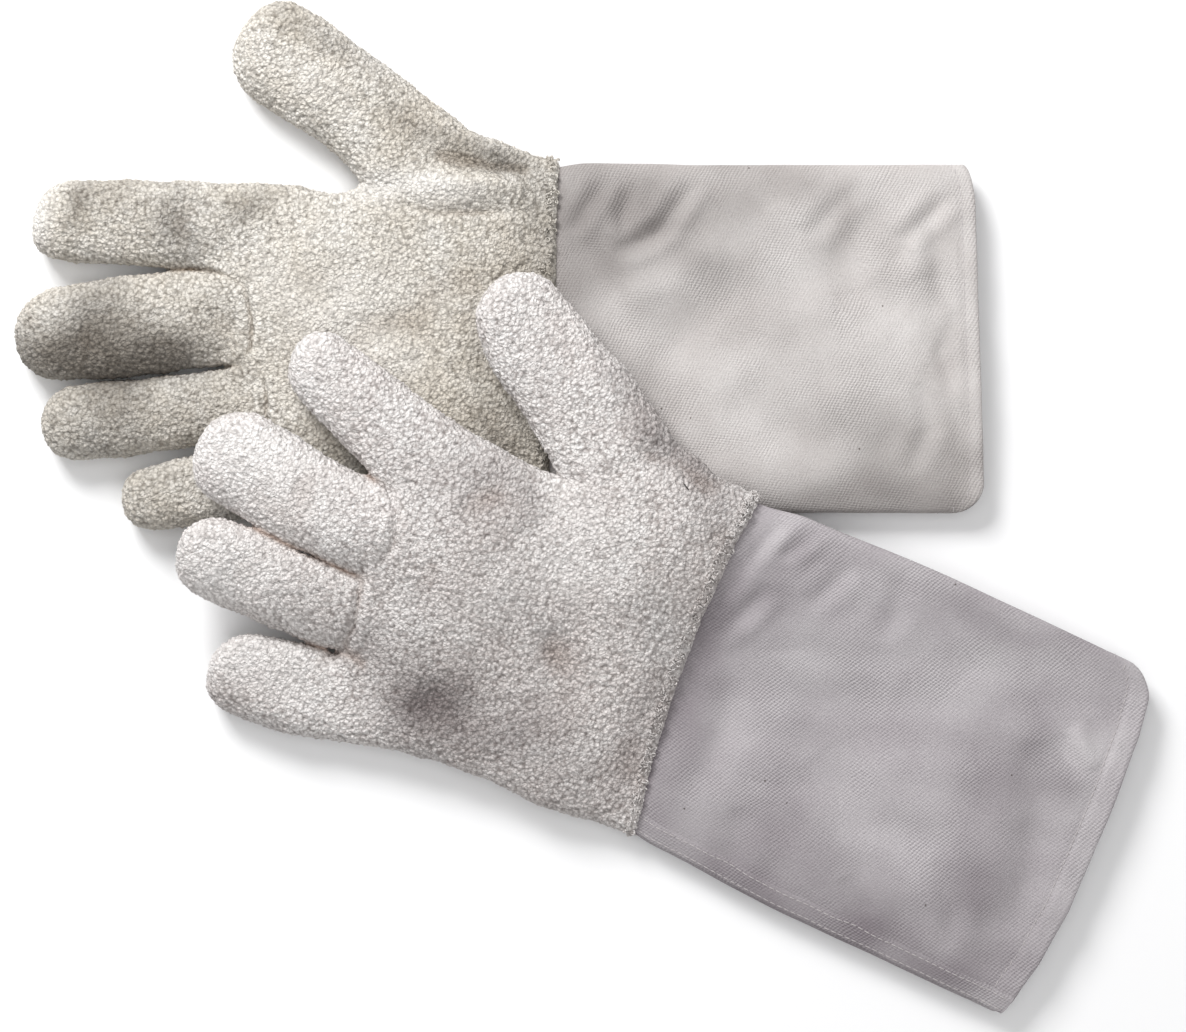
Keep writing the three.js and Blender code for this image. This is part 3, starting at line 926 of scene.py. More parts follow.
LEFT = GlovePlan(
    name="left",
    wrist=(58.0, -130.8),
    heading=155.1,
    slant=5.0,
    bow=6.0,
    cuff_half=72.2,
    flare=3.0,
    palm=(
        (-20, -73, 72.5), (6, -74, 73), (22, -75, 72.5), (34, -76, 76), (48, -76.5, 77), (62, -77, 60),
        (77, -78, 46), (97, -81, 46), (114, -86.5, 47), (130, -91, 49.5),
    ),
    palm_turn=4.0,
    digits=(
        Digit(
            "index", "index", (196, 47.5), 13.0,
            ((0, 13, 14.8), (15, 14.3, 15.4), (29, 16.6, 15.5), (41, 19, 15.7), (50, 19.6, 15.9),
             (60, 22.5, 16.4), (75, 24, 17.2), (105, 17, 17)),
            139.5, 144, skew=2.0,
        ),
        Digit(
            "middle", "middle", (215, -2.5), 1.5,
            ((0, 17.3, 19.6), (18, 17.8, 21), (30, 19, 20), (44, 19.2, 19.2), (57, 19.2, 18.4),
             (68, 18.6, 18.4), (76, 18.6, 21), (84, 20, 21), (120, 17, 17)),
            139, 144, skew=2.5, power=2.5,
        ),
        Digit(
            "ring", "ring", (205, -42), -2.5,
            ((0, 15.8, 16.6), (14, 16.3, 17.3), (25, 16.4, 17.5), (35, 16.4, 17), (48, 17, 16),
             (60, 16.9, 15.7), (67, 16.6, 15.6), (76, 16.2, 18), (108, 15, 16)),
            139, 141, skew=1.5,
        ),
        Digit(
            "little", "little", (176, -82), -10.5,
            ((0, 16, 16.8), (13, 16.6, 17.6), (25, 17, 18.8), (39, 18.2, 18.8), (48, 17, 18.2),
             (80, 14.5, 16)),
            133, 135, skew=-1.5,
        ),
        Digit(
            "thumb", "thumb", (134, 106.5), 33.0,
            ((0, 17, 15.5), (14, 19.5, 17.5), (26, 21.6, 19.6), (44, 20.8, 21), (54, 21.2, 22.8),
             (64, 22, 24.4), (80, 22, 25), (108, 20, 24)),
            80, 88, 11.5, 44, power=2.4,
        ),
    ),
    folds=(
        Fold(((136.4, 11.7), (131, 5.8), (127.2, -6.1), (129.5, -15.6)), -1.1, 1.9, 0.5),
        Fold(((134, -22), (131, -32), (128.5, -42), (130, -52)), -1.1, 1.8, 0.5),
        Fold(((143, 15), (138, 13), (134, 8)), -1.0, 1.6, 0.3),
        Fold(((130, -52), (124, -53), (118, -55)), -1.2, 2.5, 0.4),
        Fold(((74, 44), (62, 46), (48, 56)), 1.4, 6.0),
        Fold(((60, 66), (40, 70), (20, 66)), -1.4, 5.0, 0.4),
        Fold(((112, 22), (100, 26), (92, 32)), -0.9, 6.0, 0.3),
        Fold(((124, -30), (110, -40), (92, -54)), 1.0, 9.0),
        Fold(((96, -56), (84, -54), (70, -60)), -1.2, 8.0, 0.3),
        Fold(((16, 30), (44, 10), (70, 10)), 0.9, 9.0),
        Fold(((60, -14), (48, -20), (30, -24)), -0.8, 8.0, 0.3),
    ),
    cuff_folds=(
        Fold(((-7, 70), (-3.5, 54), (0, 41)), -2.1, 2.6, 0.6),
        Fold(((-23, 74), (-18, 63), (-13, 53)), -1.9, 2.8, 0.6),
        Fold(((-14, 42), (-9, 28), (-2, 14)), -1.8, 3.2, 0.6),
        Fold(((-40, 66), (-36, 52), (-30, 40)), -1.0, 3.4, 0.5),
        Fold(((-58, 70), (-64, 54), (-62, 40)), -0.9, 4.0, 0.5),
        Fold(((-120, -30), (-136, -44), (-140, -60)), -1.0, 3.6, 0.5),
        Fold(((-20, 52), (-38, 36), (-58, 26), (-80, 28)), 1.5, 7.0),
        Fold(((-6, 20), (-16, 2), (-22, -20), (-20, -50)), -1.6, 6.0, 0.4),
        Fold(((-30, 20), (-40, 0), (-46, -30)), 1.2, 9.0),
        Fold(((-60, -10), (-90, -26), (-124, -26)), -1.4, 11.0),
        Fold(((-136, 30), (-150, 4), (-158, -20), (-160, -44)), -1.6, 6.5, 0.5),
        Fold(((-148, 42), (-155, 36), (-163, 30)), 2.0, 3.6, 0.4),
        Fold(((-100, 40), (-128, 30), (-148, 34)), 1.4, 9.0),
        Fold(((-90, -52), (-100, -60), (-104, -72)), -1.4, 5.0, 0.4),
        Fold(((-40, -44), (-46, -58), (-46, -72)), -1.2, 5.0, 0.4),
        Fold(((-130, 60), (-140, 44), (-160, 50)), 1.0, 7.0),
    ),
    patches=(
        Patch((32, 70), (26, 10), 25, 0.55),
        Patch((62, 84), (24, 8), 33, 0.35),
        Patch((107, 25), (26, 15), 10, 0.25),
        Patch((92, 32), (20, 8), 20, 0.3),
        Patch((94, -54), (28, 20), 20, 0.45),
        Patch((58, -60), (50, 18), 6, 0.45),
        Patch((60, 24), (14, 20), -40, -0.5),
        Patch((84, -6), (12, 30), 20, -0.25),
        Patch((190, 45), (16, 14), 13, -0.5),
        Patch((188, 0), (34, 18), 1.5, -0.6),
        Patch((184, -42), (34, 16), -2.5, -0.5),
        Patch((156, -76), (26, 12), -10.5, -0.6),
        Patch((112, 96), (24, 12), 33, -0.4),
        Patch((53, -17), (12, 16), 0, 0.3),
        Patch((44, -46), (14, 12), 0, 0.25),
        Patch((6, -30), (8, 50), 0, 0.3),
        Patch((172, -56), (22, 4), -2, 0.3),
        Patch((150, -90), (26, 5), -8, 0.35),
        Patch((104, 92), (22, 5), 33, 0.2),
    ),
    cuff_patches=(
        Patch((-8, 34), (10, 24), 20, 0.35),
        Patch((-22, 56), (8, 14), 25, 0.25),
        Patch((-12, -20), (14, 50), 0, 0.55),
        Patch((-100, -70), (90, 10), 0, 0.6),
        Patch((-80, -52), (60, 16), 0, 0.35),
        Patch((-150, -44), (26, 26), 0, 0.25),
        Patch((-144, -20), (18, 36), -10, 0.3),
        Patch((-152, 16), (8, 14), -20, 0.3),
        Patch((-155, 37), (10, 9), 0, -0.9),
        Patch((-60, -10), (20, 30), 0, 0.2),
        Patch((-132, 28), (20, 30), 0, 0.35),
        Patch((-104, 68), (60, 6), 0, 0.25),
    ),
    mouth=((-75, -171.5), (-62, -173), (-50, -175.2), (-26, -177), (20, -175.5), (50, -173), (75, -169.2)),
    hem=9.0,
    lap_face=Face.UPPER,
    corners=((9.0, 5.0), (12.0, 12.0)),
    hand_body="left_hand",
    cuff_body="left_cuff",
    draped=True,
    seed=23,
    edge_loops=850,
    fleck=((31.6, 62.4), (34.6, 64.0)),
)


def terry(name: str, *colours: tuple[int, int, int]) -> TerryFinish:
    """A terry finish from display colours: loops, ground and the painted shade between loops, stain, grime
    and painted shading, and the brown painted shade between fingers and in creases.
    """
    return TerryFinish(name, *(from_srgb(*colour) for colour in colours))


def canvas(name: str, *colours: tuple[int, int, int]) -> CanvasFinish:
    """A canvas finish from display colours: cloth, ribs, stain (also used for the painted shade), and grime
    with painted shading.
    """
    return CanvasFinish(name, *(from_srgb(*colour) for colour in colours))


TERRY = {
    "right": terry(
        "terry_right", (243, 239, 232), (140, 134, 126), (232, 226, 216), (142, 138, 134), (150, 128, 102)
    ),
    "left": terry(
        "terry_left", (250, 247, 245), (148, 140, 137), (234, 228, 226), (140, 133, 134), (160, 126, 102)
    ),
}
CANVAS = {
    "right": canvas("canvas_right", (230, 226, 224), (194, 189, 187), (226, 223, 222), (160, 157, 156)),
    "left": canvas("canvas_left", (212, 208, 209), (172, 167, 170), (224, 220, 223), (164, 157, 162)),
}
THREAD = ThreadFinish("thread", from_srgb(196, 190, 190))
FIBRE = ThreadFinish("fibre", from_srgb(36, 32, 30))


# ---------------------------------------------------------------------------------------------------
# Pieces
# ---------------------------------------------------------------------------------------------------

LOOP_STEPS, YARN_STEPS = 10, 5  # points round a loop of yarn and round the yarn itself
THREAD_RADIUS = 0.2
FLECK_RADIUS = 0.24
STITCH_PITCH = 3.0
TIP_STEPS = (0.0, 0.2, 0.4, 0.55, 0.68, 0.78, 0.86, 0.92, 0.965, 0.99)  # shares of a tip's rounding


def pillow(half_width: Array, half_up: Array, angle: Array, power: float) -> tuple[Array, Array]:
    """A section of a soft tube lying flat.

    Args:
        half_width: Half its width.
        half_up: Half its thickness.
        angle: Round the section from the thumb side over the top, in radians.
        power: 2 is an ellipse, and more is boxier.

    Returns:
        Side from the middle, and up.
    """
    across, up = np.cos(angle), np.sin(angle)
    side = half_width * np.sign(across) * np.abs(across) ** (2 / power)
    return side, half_up * np.sign(up) * np.abs(up) ** (2 / power)


def tube(rings: Sequence[Array]) -> Skin:
    """A closed skin through rings of as many points each.

    Args:
        rings: The rings' points, in order along the tube.

    Returns:
        The skin, with each end closed by strips of four-cornered faces.
    """
    count = len(rings[0])
    last = (len(rings) - 1) * count
    faces = grid_faces(len(rings), count, round_rows=False)[:, [0, 3, 2, 1]]
    caps = [(k, k + 1, count - k - 2, count - k - 1) for k in range(count // 2 - 1)]
    far_caps = [tuple(last + corner for corner in reversed(cap)) for cap in caps]
    return Skin(np.concatenate(rings), np.concatenate([faces, caps, far_caps]))


def capsule(first: Array, last: Array, radius: float) -> Skin:
    """A short round-ended stitch.

    Args:
        first: One end.
        last: The other.
        radius: Of the thread.

    Returns:
        The skin, with cloth coordinates.
    """
    axis = (last - first) / np.linalg.norm(last - first)
    aside = np.cross(axis, (0.0, 0.0, 1.0))
    aside /= max(float(np.linalg.norm(aside)), 1e-9)
    over = np.cross(aside, axis)
    angles = np.linspace(0, 2 * math.pi, 6, endpoint=False)
    circle = np.outer(np.cos(angles), aside) + np.outer(np.sin(angles), over)
    rings = []
    for share, size in ((0.0, 0.35), (0.08, 0.85), (0.5, 1.0), (0.92, 0.85), (1.0, 0.35)):
        middle = first + (last - first) * share + over * radius * (0.5 * math.sin(math.pi * share) - 0.5)
        rings.append(middle + radius * size * circle)
    skin = tube(rings)
    skin.fields = {"cloth": skin.points.copy()}
    return skin


def bake_map(mesh: bpy.types.Mesh, skin: Skin) -> None:
    """Adds the map that the finish is baked on: upper faces beside under faces, as seen from their sides.

    Args:
        mesh: The mesh to map.
        skin: The flat skin it was made from.
    """
    plan = skin.points[:, :2]
    share = (plan - plan.min(axis=0)) / np.ptp(plan, axis=0)
    corners = skin.points[skin.faces]
    across = np.cross(corners[:, 1] - corners[:, 0], corners[:, 3] - corners[:, 0])
    under = (across[:, 2] < 0).astype(float)
    if 0.02 < under.mean() < 0.98:
        u = 0.01 + 0.48 * share[skin.faces, 1] + 0.5 * under[:, None]
    else:
        u = 0.01 + 0.98 * share[skin.faces, 1]
    v = 0.01 + 0.98 * share[skin.faces, 0]
    layer = mesh.uv_layers.new(name="OFBake")
    layer.data.foreach_set("uv", np.stack([u, v], axis=-1).astype(np.float32).ravel())


def add_piece(name: str, plan: GlovePlan, skin: Skin, material: bpy.types.Material) -> bpy.types.Object:
    """Lays a flat skin on the table as an object.

    Args:
        name: The object's name.
        plan: The glove it is part of.
        skin: The flat skin, whose cloth field holds its cloth coordinates.
        material: Its finish.

    Returns:
        The object, in the scene.
    """
    mesh = mesh_of(name, Skin(plan.lay(skin.points), skin.faces))
    for label, values in skin.fields.items():
        vector = values.ndim == 2
        attribute = mesh.attributes.new(label, "FLOAT_VECTOR" if vector else "FLOAT", "POINT")
        attribute.data.foreach_set("vector" if vector else "value", values.astype(np.float32).ravel())
    bake_map(mesh, skin)
    mesh.materials.append(material)
    LOG.info("%s: %d faces", name, len(skin.faces))
    return link(name, mesh)


def blend_ends(plan: GlovePlan, start: Array, end: Array) -> Array:
    """Where a bend starts and ends in the row frame, both at the start's height.

    Args:
        plan: The glove.
        start: Reach and side of the start.
        end: Reach and side of the end.

    Returns:
        The two points.
    """
    ends = plan.lay(np.array([[*start, 0.0], [*end, 0.0]]))
    ends[1, 2] = ends[0, 2]
    return ends


@dataclass
class Hand:
    """A glove's terry hand: built as one skin, then parted into the palm's panels and the digits."""

    plan: GlovePlan
    inset: float = 2.0  # the tubes start this much slimmer, so that fingers side by side stay apart
    voxel: float = 2.2
    loop: float = 1.45
    bend: float = 24.0  # the length along a digit between the two points that blend_ends gives

    def digit_skin(self, digit: Digit) -> Skin:
        """A digit's tube with a round tip.

        Args:
            digit: Which.

        Returns:
            The closed skin.
        """
        start = digit.middle(digit.root)
        length = (digit.tip[0] - digit.root) / digit.direction[0] - self.inset
        half = float(np.mean(digit.widths(8.0))) - self.inset
        straight = length - half
        angle = np.linspace(0, 2 * math.pi, 32, endpoint=False) + math.pi / 32
        steps = [(straight * k / 30, 0.0) for k in range(30)]
        steps += [(straight + half * x, x) for x in TIP_STEPS]
        aside = np.array([-digit.direction[1], digit.direction[0]])
        rings = []
        for along, x in steps:
            rounding = (1 - x**digit.power) ** (1 / digit.power)
            low, high = digit.widths(length + self.inset - along)
            width = ((low + high) / 2 - self.inset) * rounding
            swing = (high - low) / 2 * rounding + digit.skew * (1 - rounding)
            rooted = 2.0 * (1 - float(smoothstep(along, 0, 30)))
            up = (digit.half - self.inset - rooted) * math.sqrt(max(rounding, 0.02))
            side, height = pillow(width, up, angle, 2.3)
            plan = start + along * digit.direction + (side + swing)[:, None] * aside
            rings.append(np.column_stack([plan, height]))
        return tube(rings)

    def palm_skin(self) -> Skin:
        """The palm's pillow, from inside the cuff to the finger roots."""
        table = np.array(self.plan.palm, float)
        reaches = np.linspace(table[0, 0], table[-1, 0], 40)
        low, high = (np.interp(reaches, table[:, 0], table[:, k]) for k in (1, 2))
        angle = np.linspace(0, 2 * math.pi, 72, endpoint=False) + math.pi / 72
        rings = []
        for k, reach in enumerate(reaches):
            share = (reach - reaches[0]) / (reaches[-1] - reaches[0])
            turn = math.radians(-self.plan.palm_turn * share * share)
            slim = self.inset + 1.5 * float(smoothstep(share, 0.85, 1.0))
            side, up = pillow((high[k] - low[k]) / 2 - self.inset, half_height(reach) - slim, angle, 2.9)
            across = (high[k] + low[k]) / 2 + side * math.cos(turn)
            rings.append(np.column_stack([reach - side * math.sin(turn), across, up]))
        return tube(rings)

    def base(self) -> Skin:
        """Palm and digits as one even skin, open at the wrist with its edge turned in."""
        parts = Skin.joined([self.palm_skin(), *(self.digit_skin(digit) for digit in self.plan.digits)])

        def unite(obj: bpy.types.Object) -> None:
            remesh = obj.modifiers.new("unite", "REMESH")
            remesh.mode, remesh.voxel_size = "VOXEL", self.voxel * WORK_SCALE
            smooth = obj.modifiers.new("soften", "SMOOTH")
            smooth.factor, smooth.iterations = 0.5, 7

        return self.open_wrist(worked(mesh_of("parts", parts, WORK_SCALE), WORK_SCALE, unite))

    def open_wrist(self, skin: Skin) -> Skin:
        """Cuts a skin along the wrist seam and turns the edge in, as thick as the terry.

        Args:
            skin: The closed hand.

        Returns:
            The open hand, once subdivided.
        """
        line = self.plan.wrist_line(skin.points[:, 1])
        mesh = mesh_of("cut", Skin(skin.points - np.column_stack([line, 0 * line, 0 * line]), skin.faces))
        shape = bmesh.new()
        shape.from_mesh(mesh)
        everything = shape.verts[:] + shape.edges[:] + shape.faces[:]
        bmesh.ops.bisect_plane(
            shape, geom=everything, plane_co=(0, 0, 0), plane_no=(1, 0, 0), clear_inner=True, dist=0.3
        )
        rim = [edge for edge in shape.edges if edge.is_boundary]
        for inward, back in ((1.0, -0.9), (1.2, 0.3), (0.5, 2.5), (0.2, 6.0)):
            shape.normal_update()
            made = bmesh.ops.extrude_edge_only(shape, edges=rim)["geom"]
            rim = [item for item in made if isinstance(item, bmesh.types.BMEdge) and item.is_boundary]
            for vertex in {v for edge in rim for v in edge.verts}:
                share = min(1.0, abs(vertex.co.y) / self.plan.cuff_half)
                across = -math.copysign(share**6, vertex.co.y)
                down = -math.copysign(min(1.0, abs(vertex.co.z) / 3.0), vertex.co.z)
                vertex.co += Vector((0, across, down)) * inward + Vector((back, 0, 0))
        bmesh.ops.recalc_face_normals(shape, faces=shape.faces[:])
        shape.to_mesh(mesh)
        shape.free()
        opened = worked(mesh, 1.0, subdivide)
        opened.points[:, 0] += self.plan.wrist_line(opened.points[:, 1])
        return opened

    def fine(self) -> Skin:
        """The hand's skin with its seams, creases and pile, as flat points."""
        plan = self.plan
        skin = worked(mesh_of("base", self.base(), WORK_SCALE), WORK_SCALE, subdivide)
        skin.push(np.full(len(skin.points), self.inset - 0.35))
        facing = skin.normals()[:, 2]
        rise = sum(fold.rise(skin.points, facing) for fold in plan.folds)
        rise = rise + 0.55 * ripple(skin.points, 46, plan.seed)
        rise = rise + 0.3 * ripple(skin.points, 17, plan.seed + 1)
        skin.push(rise)
        flat = skin.points.copy()
        loops, number = Cells(self.loop, plan.seed).at(flat)
        tufts, _ = Cells(self.loop * 2.3, plan.seed + 5).at(flat)
        height = np.clip(1.05 - loops, 0, 1) * (0.75 + 0.5 * number)
        inside = smoothstep(plan.past_wrist(flat), -2.5, 0.5)
        skin.push((0.95 * height + 0.5 * (0.6 - tufts)) * (0.45 + 0.55 * inside))
        shade, grime_and_painted_shading = self.shade(flat, rise), plan.grime_and_painted_shading(flat, plan.patches)
        skin.fields = {"cloth": flat, "pile": height, "tone": number, "shade": shade, "grime_and_painted_shading": grime_and_painted_shading}
        LOG.info("%s hand: %d points, %d faces", plan.name, len(skin.points), len(skin.faces))
        return skin

    def fringe(self, skin: Skin) -> Skin:
        """The pile's loops that stand out along the wrist edge.

        Args:
            skin: The finished hand.

        Returns:
            Many small rings of yarn, as one skin.
        """
        random = np.random.default_rng(self.plan.seed)
        past = self.plan.past_wrist(skin.fields["cloth"])
        facing = skin.normals()
        near = np.flatnonzero((past > -1.0) & (past < 3.2) & (facing[:, 0] < 0.75))
        near = random.permutation(near)[: self.plan.edge_loops]
        made = Skin.joined([self.yarn_loop(skin.points[k], facing[k], random) for k in near])
        count = len(made.points)
        made.fields = {
            "cloth": made.points.copy(),
            "pile": np.full(count, 0.75),
            "tone": np.repeat(random.uniform(0, 1, len(near)), LOOP_STEPS * YARN_STEPS),
            "shade": np.zeros(count),
            "grime_and_painted_shading": self.plan.grime_and_painted_shading(made.points, self.plan.patches),
        }
        return made

    @staticmethod
    def yarn_loop(place: Array, facing: Array, random: np.random.Generator) -> Skin:
        """A small ring of yarn.

        Args:
            place: The point of the cloth it stands on.
            facing: The outward direction there.
            random: Gives the ring's size and how it lies.

        Returns:
            Its skin.
        """
        axis = random.normal(size=3) * (1.0, 1.0, 0.7)
        axis /= np.linalg.norm(axis)
        first = np.cross(axis, random.normal(size=3))
        first /= np.linalg.norm(first)
        second = np.cross(axis, first)
        radius, yarn = random.uniform(0.5, 1.1), random.uniform(0.28, 0.4)
        middle = place + 0.35 * facing + (-0.5 * random.uniform(0, 1), 0, 0)
        turn = np.linspace(0, 2 * math.pi, LOOP_STEPS, endpoint=False)
        spokes = np.outer(np.cos(turn), first) * random.uniform(0.6, 1.0) + np.outer(np.sin(turn), second)
        points = [
            middle + spoke * (radius + yarn * math.cos(a)) + axis * yarn * math.sin(a)
            for spoke in spokes
            for a in np.linspace(0, 2 * math.pi, YARN_STEPS, endpoint=False)
        ]
        return Skin(np.array(points), grid_faces(LOOP_STEPS, YARN_STEPS))

    def fleck(self, skin: Skin) -> Skin:
        """A dark fibre lying on the pile.

        Args:
            skin: The finished hand.

        Returns:
            Its skin.
        """
        ends = np.array(self.plan.fleck)
        near = np.linalg.norm(skin.fields["cloth"][:, :2] - ends.mean(axis=0), axis=1) < 2.0
        height = float(skin.points[near, 2].max()) + 0.2
        return capsule(*np.column_stack([ends, [height, height]]), FLECK_RADIUS)

    def shade(self, flat: Array, rise: Array) -> Array:
        """Painted shade, tinted brown: in the gaps between fingers and in the grooves of the seams and
        creases.

        Args:
            flat: The points.
            rise: How much the cloth stands out there.

        Returns:
            The painted shade, 0 to 1.
        """
        off_sides = [np.abs(digit.past(flat[:, :2], digit.cut)[1]) for digit in self.plan.digits]
        nearest = np.sort(np.stack(off_sides), axis=0)
        # Painted shade where two fingers meet, and in the grooves.
        gap = np.exp(-(((nearest[0] + nearest[1]) / 3.2) ** 2)) * smoothstep(flat[:, 0], 118, 140)
        gap *= 1 - smoothstep(np.abs(flat[:, 2]), 3.0, 9.5)
        return np.clip(0.75 * gap + 0.35 * np.clip(-rise - 0.5, 0, 1), 0, 1)

    def owners(self, middles: Array) -> Array:
        """Which digit each face belongs to: its number, or -1 for the palm.

        Args:
            middles: The faces' middles on the cloth.

        Returns:
            One number a face.
        """
        checked = [digit.past(middles[:, :2], digit.cut) for digit in self.plan.digits]
        past, outside = np.array(checked).transpose(1, 0, 2)
        nearest, rows = outside.argmin(axis=0), np.arange(len(middles))
        mine = (past[nearest, rows] > 0) & (outside[nearest, rows] < 5)
        return np.where(mine, nearest, -1)

    def build(self) -> None:
        """Adds the hand's pieces to the scene."""
        plan, skin = self.plan, self.fine()
        material = TERRY[plan.name].material()
        middles = skin.fields["cloth"][skin.faces].mean(axis=1)
        owner, upper = self.owners(middles), middles[:, 2] > 0
        for face, mask in ((Face.UPPER, upper), (Face.UNDER, ~upper)):
            panel = f"{plan.name}_palm_{face.value}"
            piece = add_piece(f"terry_{panel}", plan, skin.part((owner < 0) & mask), material)
            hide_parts(panel)
            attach(piece, plan.hand_body)
        for number, digit in enumerate(plan.digits):
            piece = add_piece(f"terry_{plan.name}_{digit.name}", plan, skin.part(owner == number), material)
            body = f"{plan.name}_{digit.part}"
            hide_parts(*(f"{body}_{face.value}" for face in Face))
            start = digit.middle(digit.bend)
            ends = blend_ends(plan, start, start + self.bend * digit.direction)
            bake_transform(piece)
        fringe = add_piece(f"terry_{plan.name}_edge_loops", plan, self.fringe(skin), material)
        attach(fringe, plan.hand_body)
        if plan.fleck:
            fleck = add_piece(f"fibre_{plan.name}_fleck", plan, self.fleck(skin), FIBRE.material())
            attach(fleck, plan.hand_body)


@dataclass
class Cuff:
    """A glove's canvas cuff: the tube, its turned hem, its felled seam and all its stitches."""

    plan: GlovePlan
    wall: float = 1.0
    tuck: float = 9.0  # how far the canvas runs on inside the hand
    half_width: float = 70.0  # of the section that the girth is measured on
    columns: int = 240
    seam_from: float = 0.8  # the felled seam's edges, off the cuff's little-finger edge
    seam_to: float = 8.8
    bend: float = 25.0

    def __post_init__(self) -> None:
        angle = np.linspace(0, 2 * math.pi, 20001)
        side, up = pillow(self.half_width, CUFF_HALF, angle, 2.7)
        length = np.concatenate([[0], np.cumsum(np.hypot(np.diff(side), np.diff(up)))])
        self.girth = float(length[-1])
        self._share, self._side, self._up = length / length[-1], side / self.half_width, up / CUFF_HALF
        self.mouth_half = self.plan.cuff_half + self.plan.flare

    def mouth(self, side: Array) -> Array:
        """The reach of the mouth's edge at a side, with its rounded corners.

        Args:
            side: Where across the cuff.

        Returns:
            The reach.
        """
        line = np.array(self.plan.mouth)
        edge = np.interp(side, line[:, 0], line[:, 1])
        for sign, (wide, deep) in zip((-1, 1), self.plan.corners):
            into = np.clip((side * sign - (self.mouth_half - wide)) / wide, 0, 1)
            edge = edge + deep * (1 - np.sqrt(np.clip(1 - into**2, 0, 1)))
        return edge

    def place(self, around: Array, reach: Array, out: Array | float = 0.0) -> Array:
        """Flat points on the cuff's outer face, or off it.

        Args:
            around: 0 to 1 round the tube, from the thumb side over the top.
            reach: Along the glove.
            out: How far outside the face; negative is inside.

        Returns:
            Their reach, side and up.
        """
        around = np.mod(around, 1.0)
        side = np.interp(around, self._share, self._side)
        up = np.interp(around, self._share, self._up)
        into_hand = smoothstep(reach, -16, 4)
        half = self.plan.cuff_half - 2.6 * into_hand + self.plan.flare * smoothstep(-reach, 5, 80)
        thick = half_height(reach) - 2.7 * into_hand - 1.5 * smoothstep(-reach, 140, 171)
        flat = np.column_stack([reach, side * half, up * thick])
        over = smoothstep(np.abs(up), 0.15, 0.75) * np.sign(up)
        relief = sum(fold.rise(flat, over) for fold in self.plan.cuff_folds)
        for size, wavelength, more in ((0.5, 60, 3), (0.3, 24, 4)):
            relief = relief + size * ripple(flat[:, :2], wavelength, self.plan.seed + more)
        past_hem = reach - self.hem_line(flat[:, 1])
        relief = relief - 0.45 * np.exp(-((past_hem / 0.9) ** 2)) + 0.35 * smoothstep(-past_hem, 0.5, 2.5)
        outward = np.column_stack([0 * reach, side * np.abs(side) ** 5, up * (1 - 0.7 * np.abs(side) ** 8)])
        outward /= np.maximum(np.linalg.norm(outward, axis=1, keepdims=True), 1e-9)
        calm = (1 - 0.75 * into_hand) * (1 - 0.8 * np.abs(side) ** 10)
        return flat + outward * (relief * calm + out)[:, None]

    def hem_line(self, side: Array) -> Array:
        """The reach of the hem's stitches at a side."""
        return self.mouth(side) + self.plan.hem

    def side_of(self, around: Array) -> Array:
        """The side that a share round the tube is at."""
        return np.interp(np.mod(around, 1.0), self._share, self._side) * self.mouth_half

    def around_at(self, side: float, face: Face) -> float:
        """The share round the tube of a side on one face.

        Args:
            side: Where across the cuff.
            face: On which face.

        Returns:
            The share.
        """
        top = len(self._side) // 2 + 1
        found = np.interp(side / self.plan.cuff_half, self._side[:top][::-1], self._share[:top][::-1])
        return float(found) if face is Face.UPPER else 1.0 - float(found)

    def sleeve(self, from_end: Edge, to_end: Edge, rows: int, outs: tuple[float, float]) -> Skin:
        """A wall of cloth round the tube between two lines, as a closed band.

        Args:
            from_end: The reach of one end at each side.
            to_end: The reach of the other.
            rows: How many steps between them.
            outs: Where the outer and the inner face are, off the cuff's outer face.

        Returns:
            The skin.
        """
        around = np.arange(self.columns) / self.columns
        side = self.side_of(around)
        start, end = from_end(side), to_end(side)
        middle = (outs[0] + outs[1]) / 2
        levels = [(share, outs[0]) for share in np.linspace(0, 1, rows + 1)]
        levels += [(1.0 + 0.35 / rows, middle)]
        levels += [(share, outs[1]) for share in np.linspace(1, 0, rows + 1)]
        levels += [(-0.35 / rows, middle)]
        rings = [self.place(around, start + (end - start) * share, out) for share, out in levels]
        points = np.concatenate(rings)
        # Painted shade on the canvas under the terry's turned edge.
        under_hand = 0.9 * smoothstep(self.plan.past_wrist(points), -3.4, -1.2)
        across = np.tile(around * self.girth, len(rings))
        return self.dressed(points, grid_faces(len(rings), self.columns), across, under_hand)

    def dressed(self, points: Array, faces: Array, across: Array, darker: Array | float = 0.0) -> Skin:
        """A skin of canvas with its cloth coordinates, its painted shade, and its grime and painted shading.

        Args:
            points: Its points.
            faces: Its faces.
            across: How far round the cloth each point is.
            darker: Painted shade beside the plan's patches.

        Returns:
            The skin.
        """
        cloth = np.column_stack([points[:, 0], across, np.zeros(len(points))])
        grime_and_painted_shading = np.clip(self.plan.grime_and_painted_shading(points, self.plan.cuff_patches) + darker, -1, 1)
        return Skin(points, faces, {"cloth": cloth, "shade": self.shade(points), "grime_and_painted_shading": grime_and_painted_shading})

    def shade(self, flat: Array) -> Array:
        """Painted shade towards the wrist and along the side edges where the tube turns under, darker along
        the mouth's edge and lighter over the hem band.

        Args:
            flat: The points.

        Returns:
            The darkening, 0 to 1.
        """
        reach, side = flat[:, 0], flat[:, 1]
        # Painted shade towards the wrist and the side edges; a darker line at the mouth and a lighter hem
        # band.
        wrist = 0.5 * smoothstep(reach, -10, 0)
        edge = 0.3 * smoothstep(np.abs(side), self.mouth_half - 5, self.mouth_half)
        hem = 0.35 * smoothstep(self.hem_line(side) - reach, 0.0, 2.0)
        lip = 0.5 * smoothstep(self.mouth(side) + 0.8 - reach, 0.0, 0.8)
        return np.clip(wrist + edge + 0.2 * ripple(flat[:, :2], 50, self.plan.seed + 8) - hem + lip, 0, 1)

